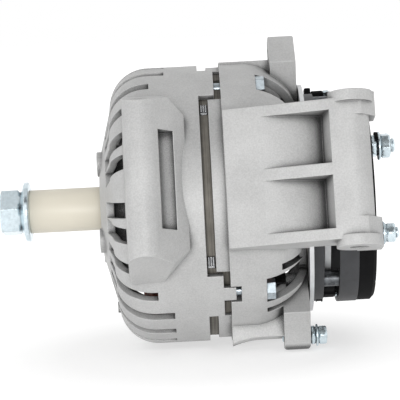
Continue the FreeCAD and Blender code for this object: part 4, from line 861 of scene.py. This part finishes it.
@dataclass
class PulleySeat:
    """The flange nut, the shaft's threaded end and the shipping sleeve."""

    hex_flats: float = 0.024
    flange_radius: float = 0.01725
    bore: float = 0.00793
    sleeve_outer: float = 0.0125
    sleeve_inner: float = 0.00875
    thread_pitch: float = 0.0015
    thread_depth: float = 0.0008
    journals: tuple[Point, ...] = ((-0.0660, 0.0079, 0.00847), (-0.0098, 0.00847, 0.00997),
                                   (0.0660, 0.00997, 0.00747), (0.0950, 0.00747, 0.0064))

    def nut(self) -> Object:
        """Build the flange nut: a hexagon whose corners run out on a cone above a round flange.

        Returns:
            The piece.
        """
        low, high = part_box("pulley_nut")
        half, corner = self.hex_flats / 2.0, self.hex_flats / math.sqrt(3.0)
        rim, bore = self.flange_radius, self.bore
        hex_end, lip = high.x - 0.0052, 0.0016
        stations = [
            (low.x, half * 0.96), (low.x + 0.0011, corner), (hex_end - 0.0012, corner), (hex_end, half * 0.97),
            (hex_end + 0.0008, corner * 0.96), (high.x - 0.0034, rim - 0.0014), (high.x - 0.0029, rim - 0.0003),
            (high.x - 0.0022, rim), (high.x - 0.0008, rim), (high.x - 0.0002, rim - 0.0004),
            (high.x, rim - 0.0010), (high.x, bore), (low.x + lip, bore), (low.x, bore + lip)]
        limit = hex_radius(self.hex_flats, 30.0)

        def rule(x: Array, r: Array, t: Array) -> Array:
            """Hold only the wrench end inside the hexagon."""
            return np.where(x <= hex_end + 1e-6, limit(x, r, t), r)

        return build("pulley_nut_cut", [lathe(stations, 144, radius=rule, closed=True)], "rotor", "zinc_steel",
                     "pulley_nut", smooth_angle=28.0)

    def sleeve(self) -> Object:
        """Build the shipping sleeve, a tube with rounded outer rims.

        Returns:
            The piece.
        """
        low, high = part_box("transit_sleeve")
        outer, inner, soft = self.sleeve_outer, self.sleeve_inner, 0.0005
        near = soft * 0.3
        stations = [(low.x, outer - soft), (low.x + near, outer - near), (low.x + soft, outer),
                    (high.x - soft, outer), (high.x - near, outer - near), (high.x, outer - soft),
                    (high.x, inner), (low.x, inner)]
        return build("transit_sleeve_cut", [lathe(stations, 96, closed=True)], "rotor", "cream_plastic",
                     "transit_sleeve")

    def shaft(self) -> Object:
        """Build the stepped shaft with its centre hole, chamfer and thread.

        Each journal gives the x of a step, with the radius before it and after it.

        Returns:
            The piece.
        """
        low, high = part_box("rotor_shaft")
        thread, end, soft = self.journals[0][1], self.journals[-1][2], 0.0008
        stations = [(low.x + 0.0034, 0.0009), (low.x + 0.0016, 0.0011), (low.x, 0.0024), (low.x, 0.0070)]
        stations += [(x, thread) for x in np.linspace(low.x + 0.0009, low.x + 0.0080, 60).tolist()]
        stations += [(x, radius) for x, *radii in self.journals for radius in radii]
        stations += [(high.x - soft, end), (high.x, end - soft)]
        rule = thread_radius(self.thread_pitch, self.thread_depth, low.x + 0.0004, low.x + 0.0079)
        return build("rotor_shaft_turned", [lathe(stations, 64, radius=rule)], "rotor", "bearing_steel",
                     "rotor_shaft", smooth_angle=30.0)

    def make(self) -> Pieces:
        """Build the nut, the sleeve and the shaft and return them."""
        return [self.nut(), self.sleeve(), self.shaft()]


@dataclass
class Windings:
    """Copper end turns at both ends of the stator, as overlapping loops of bundled wire."""

    slots: int = 36
    span: int = 5
    wires: int = 3
    wire_radius: float = 0.00105
    inner: float = 0.0565
    outer: float = 0.0675
    backing_inset: float = 0.0025
    backing_reach: float = 0.004
    layer_drop: float = 0.16
    ripple: float = 0.0012
    sink: float = 0.0004

    def loops(self, face: float, reach: float) -> list[Patch]:
        """Make the loops of one end.

        Each loop rises from its slot, leans over to the slot a span further on and comes back: its
        angle runs evenly over the span while its height follows a sine, raised to 0.45.

        Args:
            face: x of the stator's face.
            reach: How far the loops stand out, with its sign.

        Returns:
            The closed grids.
        """
        patches: list[Patch] = []
        inner, outer = self.inner, self.outer
        along = np.linspace(0.0, 1.0, 22)
        rise = np.sin(np.pi * along) ** 0.45
        pitch = 2.0 * math.pi / self.slots
        for layer in range(self.wires):
            share = (layer + 0.5) / self.wires
            height = np.abs(reach) * (1.0 - self.layer_drop * layer) - self.wire_radius
            base = inner + (outer - inner) * (0.12 + 0.76 * ((share + along * 0.5) % 1.0))
            x = face + np.sign(reach) * (rise * height - self.sink * (1.0 - rise))
            for slot in range(self.slots):
                angle = slot * pitch + (along - 0.5) * pitch * self.span
                radius = base + self.ripple * np.sin(2.0 * np.pi * along + slot)
                radius = np.clip(radius, inner + self.wire_radius, outer - self.wire_radius)
                path = np.stack([x, SHAFT_Y + radius * np.cos(angle), radius * np.sin(angle)], axis=1)
                patches.append(tube(path, self.wire_radius, 6))
        return patches

    def make(self) -> Pieces:
        """Build the winding: the loops of both ends, each over a plain ring.

        Returns:
            The piece, in a list.
        """
        low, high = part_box("stator_winding")
        front, rear = (corner.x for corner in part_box("stator_core"))
        grids = self.loops(front, low.x - front) + self.loops(rear, high.x - rear)
        inner, outer = self.inner + self.backing_inset, self.outer - self.backing_inset
        for a, b in ((low.x + self.backing_reach, front), (rear, high.x - self.backing_reach)):
            grids.append(lathe([(a, inner), (a, outer), (b, outer), (b, inner)], 120, closed=True))
        return [build("stator_winding_wires", grids, "housing", "winding", "stator_winding", smooth_angle=60.0)]


@dataclass
class RearFan:
    """The fan behind the rotor: a disc with curved blades that reach towards the rear wall."""

    blades: int = 17
    disc: float = 0.0014
    bore: float = 0.0105
    reach: float = 0.0772
    inner: float = 0.031
    outer: float = 0.0498
    lean: float = 22.0
    thickness: float = 0.0014
    rim: float = 0.052
    soft: float = 0.0004

    def blade(self, start: float, turn: float) -> Patch:
        """Make one blade.

        Its section is a thin rectangle along x; it runs outwards in radius while its angle grows with
        the square of the way, so that it leans back.

        Args:
            start: x of the disc's face.
            turn: Angle of its inner end, in degrees.

        Returns:
            The closed grid.
        """
        way = np.linspace(0.0, 1.0, 10)
        radius = self.inner + (self.outer - self.inner) * way
        angle = np.radians(turn + self.lean * way ** 2)
        height = (self.reach - start) * (0.55 + 0.45 * np.minimum(way * 2.2, 1.0))
        half = self.thickness / 2.0 / radius
        foot = np.full(len(way), start - 0.0002)
        x = np.stack([foot, foot, start + height, start + height], axis=1)
        t = angle[:, None] + half[:, None] * np.array([-1.0, 1.0, 1.0, -1.0])
        r = radius[:, None]
        return Patch(np.stack([x, SHAFT_Y - r * np.cos(t), r * np.sin(t)], axis=-1))

    def make(self) -> Pieces:
        """Build the fan.

        Returns:
            The piece, in a list.
        """
        start, rim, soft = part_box("rear_fan")[0].x, self.rim, self.soft
        face = start + self.disc
        grids = [lathe([(start, self.bore), (start, rim - soft), (start + soft, rim), (face - soft, rim),
                        (face, rim - soft), (face, self.bore)], 96, closed=True)]
        grids += [self.blade(face, 360.0 / self.blades * number) for number in range(self.blades)]
        return [build("rear_fan_blades", grids, "rotor", "pole_steel", "rear_fan")]


@dataclass
class PhaseTerminals:
    """Moulded terminal blocks between carrier and cover, each with a tab and a metal clip; their black also
    fills the gap between carrier and cover as painted shade.
    """

    tab: Pair = (0.0939, 0.0975)
    block: Pair = (0.0977, 0.1047)
    clip: Pair = (0.1049, 0.1082)
    cover_rim: float = 0.06085
    places: tuple[Pair, ...] = ((90.0, 0.062), (-88.0, 0.0583), (196.0, 0.060))

    def make(self) -> Pieces:
        """Build the blocks and their clips.

        Returns:
            The two pieces.
        """
        black: list[Patch] = []
        metal: list[Patch] = []
        for middle, rim in self.places:
            black += [arc_block(self.block, (rim - 0.0115, rim - 0.0012), middle, (-15.0, 15.0), 0.0008),
                      arc_block(self.block, (rim - 0.004, rim), middle, (-5.0, 6.0), 0.0005),
                      arc_block(self.tab, (0.0602, rim + 0.0018), middle, (-6.0, 1.5), 0.0005)]
            metal.append(arc_block((self.clip[0], 0.1060), (0.0565, rim), middle, (-2.2, 2.2)))
            if rim > self.cover_rim:
                metal.append(arc_block(self.clip, (self.cover_rim, rim + 0.0004), middle, (-2.5, 2.5)))
        # The blocks stand for terminal blocks, and their black also fills the shaded gap between carrier and
        # cover as painted shade.
        return [build("phase_terminal_blocks_and_gap_shade", black, "housing", "dark_plastic", finish=Finish.BLACK_PLASTIC),
                build("phase_terminal_clips", metal, "housing", "zinc_steel")]


@dataclass
class StackClips:
    """Short ribbed clips that hold the stator's sheets, seen in the joint between the brackets."""

    span: Pair = (0.0327, 0.0366)
    angles: tuple[float, ...] = (33.5, -33.5, 146.5, -146.5)

    def make(self) -> Pieces:
        """Build the clips.

        Returns:
            The piece, in a list.
        """
        grids: list[Patch] = []
        for angle in self.angles:
            for row in range(3):
                x0 = self.span[0] + 0.0013 * row
                grids.append(arc_block((x0, x0 + 0.0011), (0.0750, 0.0774), angle, (-2.0, 2.0)))
            grids.append(arc_block((self.span[0] - 0.0002, self.span[1] + 0.0002), (0.0745, 0.0768), angle,
                                   (-3.2, -2.1)))
        return [build("stack_clips", grids, "housing", "zinc_steel", finish=Finish.BEARING_STEEL)]


@dataclass
class Studio:
    """Camera at the photograph's angle, pale sloping floor, grey reflection cards and soft lights."""

    elevation: float = -9.0
    roll: float = 2.96
    distance: float = 1.135
    focal_pixels: float = 1957.0
    frame_pixels: float = 400.0
    target: Point = (0.0302, SHAFT_Y, 0.00188)
    floor_tilt: float = 15.0
    floor_gap: float = 0.0005
    floor_reach: float = 4.0
    paper_white: float = 1.22
    paper_glow: float = 0.5
    bounce: float = 0.22
    surround: float = 0.70
    glow_centre: float = 0.03
    glow_edge: Pair = (0.08, 0.22)
    aim: Point = (0.02, 0.06, 0.0)

    def camera(self) -> None:
        """Place the camera below the shaft's level, rolled so that the shaft rises to the right."""
        angle, roll = math.radians(self.elevation), math.radians(self.roll)
        forward = Vector((0.0, math.cos(angle), -math.sin(angle)))
        level = Vector((1.0, 0.0, 0.0))
        rise = level.cross(forward)
        right = level * math.cos(roll) - rise * math.sin(roll)
        up = level * math.sin(roll) + rise * math.cos(roll)
        data = bpy.data.cameras.new("camera")
        data.sensor_width = 36.0
        data.lens = self.focal_pixels / self.frame_pixels * data.sensor_width
        data.clip_start, data.clip_end = 0.05, 20.0
        camera = present("camera", data)
        basis = Matrix((right, up, -forward)).transposed().to_4x4()
        basis.translation = Vector(self.target) - forward * self.distance
        camera.matrix_world = basis
        bpy.context.scene.camera = camera

    def floor(self) -> None:
        """Make the one-sided floor, a plane that slopes down to the camera."""
        tilt, reach = math.radians(self.floor_tilt), self.floor_reach
        normal = np.array([0.0, -math.sin(tilt), math.cos(tilt)])
        slope = np.array([0.0, math.cos(tilt), math.sin(tilt)])
        lowest = (self.corners() @ normal).min() - self.floor_gap
        along, across = np.meshgrid(np.linspace(-reach, reach * 2.0, 24), [-reach, reach], indexing="ij")
        points = normal * lowest + slope * along[..., None]
        points[..., 0] += across
        index = np.arange(along.size).reshape(along.shape)
        quads = np.stack([index[:-1, 0], index[:-1, 1], index[1:, 1], index[1:, 0]], axis=-1)
        mesh = bpy.data.meshes.new("floor")
        mesh.from_pydata(points.reshape(-1, 3).tolist(), [], quads.tolist())
        mesh.polygons.foreach_set("use_smooth", np.ones(len(mesh.polygons), dtype=bool))
        mesh.materials.append(self.floor_material())
        present("floor", mesh)

    def corners(self) -> Array:
        """Gather points of the nodes that reach lowest, which the floor has to clear.

        Returns:
            Every seventh corner of their meshes.
        """
        found: list[Array] = []
        for node in ("drive_end_bracket", "rear_bracket", "lug_nuts", "rear_cover"):
            mesh = frame["nodes"][node].data
            flat = np.zeros(len(mesh.vertices) * 3)
            mesh.vertices.foreach_get("co", flat)
            found.append(flat.reshape(-1, 3)[::7])
        return np.concatenate(found)

    @staticmethod
    def shown(graph: Graph) -> Value:
        """Return 1 where the camera sees it straight, in metal or through glass, and 0 elsewhere."""
        parts = [graph.node("ShaderNodeLightPath", result=name)
                 for name in ("Is Camera Ray", "Is Glossy Ray", "Is Transmission Ray")]
        return (parts[0] + parts[1] + parts[2]).clamp()

    def floor_material(self) -> Material:
        """Lay out a matt white that keeps a faint shadow, shows as white paper and is clear from below.

        Returns:
            The finished material.
        """
        graph = Graph("studio_floor")
        paper = graph.node("ShaderNodeBsdfDiffuse", {}, {"Color": (0.92, 0.92, 0.92)})
        white = graph.node("ShaderNodeEmission", {}, {"Color": (1.0, 1.0, 1.0), "Strength": self.paper_white})
        x, y, _ = graph.axes()
        away = ((x - self.glow_centre) ** 2.0 + (y - SHAFT_Y) ** 2.0) ** 0.5
        glow = away.step(*self.glow_edge) * (1.0 - self.paper_glow) + self.paper_glow
        share = self.shown(graph) * (glow - self.bounce) + self.bounce
        lit = graph.node("ShaderNodeMixShader", {}, {0: share, 1: paper, 2: white})
        clear = graph.node("ShaderNodeBsdfTransparent")
        under = graph.node("ShaderNodeNewGeometry", result="Backfacing")
        return graph.finish(graph.node("ShaderNodeMixShader", {}, {0: under, 1: lit, 2: clear}))

    def cards(self) -> None:
        """Hang three grey cards, above and at the left, that show only in polished metal."""
        for name, place, width, height, tone in (
                ("card_over_camera", (0.0, -1.137, 1.03), 1.0, 0.42, 0.12),
                ("card_above", (0.0, -0.189, 1.576), 1.0, 0.62, 0.72),
                ("card_left", (-1.7, -0.35, 0.10), 0.62, 0.62, 0.05)):
            middle = Vector(place)
            towards = (Vector(SHAFT) - middle).normalized()
            up = Vector((0.0, 0.0, 1.0)) if abs(towards.x) > 0.5 else Vector((0.0, 1.0, 0.0))
            side = towards.cross(up).normalized() * width
            rise = side.cross(towards).normalized() * height
            left, right = middle - side, middle + side
            mesh = bpy.data.meshes.new(name)
            mesh.from_pydata([left - rise, right - rise, right + rise, left + rise], [], [(0, 1, 2, 3)])
            graph = Graph(name)
            paper = graph.node("ShaderNodeBsdfDiffuse", {}, {"Color": (tone,) * 3})
            mesh.materials.append(graph.finish(paper))
            card = present(name, mesh)
            for ray in ("visible_camera", "visible_diffuse", "visible_transmission", "visible_shadow"):
                setattr(card, ray, False)

    def lights(self) -> None:
        """Hang a soft light by the camera, one above, one low, one at each side and a white surround."""
        for name, place, size, power in (
                ("light_front", (-0.3, -1.45, 0.12), 1.3, 1.0), ("light_above", (-0.15, -0.25, 1.25), 1.2, 0.35),
                ("light_low", (0.0, -0.95, -0.33), 0.5, 6.0), ("light_left", (-1.3, -0.55, -0.05), 0.8, 4.0),
                ("light_right", (1.3, -0.5, 0.15), 0.8, 0.5)):
            data = bpy.data.lights.new(name, "AREA")
            data.shape, data.size, data.energy = "SQUARE", size, power
            light = present(name, data)
            light.location = place
            light.rotation_euler = (Vector(self.aim) - Vector(place)).to_track_quat("-Z", "Y").to_euler()
        graph = Graph("studio", world=True)
        seen, given = (graph.node("ShaderNodeBackground", {}, {"Color": (1.0, 1.0, 1.0), "Strength": strength})
                       for strength in (1.0, self.surround))
        mixed = graph.node("ShaderNodeMixShader", {}, {0: self.shown(graph), 1: given, 2: seen})
        bpy.context.scene.world = graph.finish(mixed)

    def make(self) -> None:
        """Set the studio up."""
        bpy.context.scene.view_settings.view_transform = "Standard"
        self.camera()
        self.floor()
        self.cards()
        self.lights()


def dress_nodes() -> None:
    """Give every CAD node its own finish or that of its slot."""
    slots = {entry["node"]: entry["material_slot"] for entry in frame["record"]["subparts"]}
    for name, node in frame["nodes"].items():
        paint(node, NODE_FINISH.get(name, Finish[slots[name].upper()]))


def main() -> None:
    """Dress the nodes, build the new pieces and set the studio up."""
    dress_nodes()
    for maker in (PulleySeat(), Hardware(), Windings(), RearFan(), PhaseTerminals(), StackClips()):
        for piece in maker.make():
            log.info("%s: %d faces", piece.name, len(piece.data.polygons))
    Studio().make()


if __name__ == "__main__":
    main()
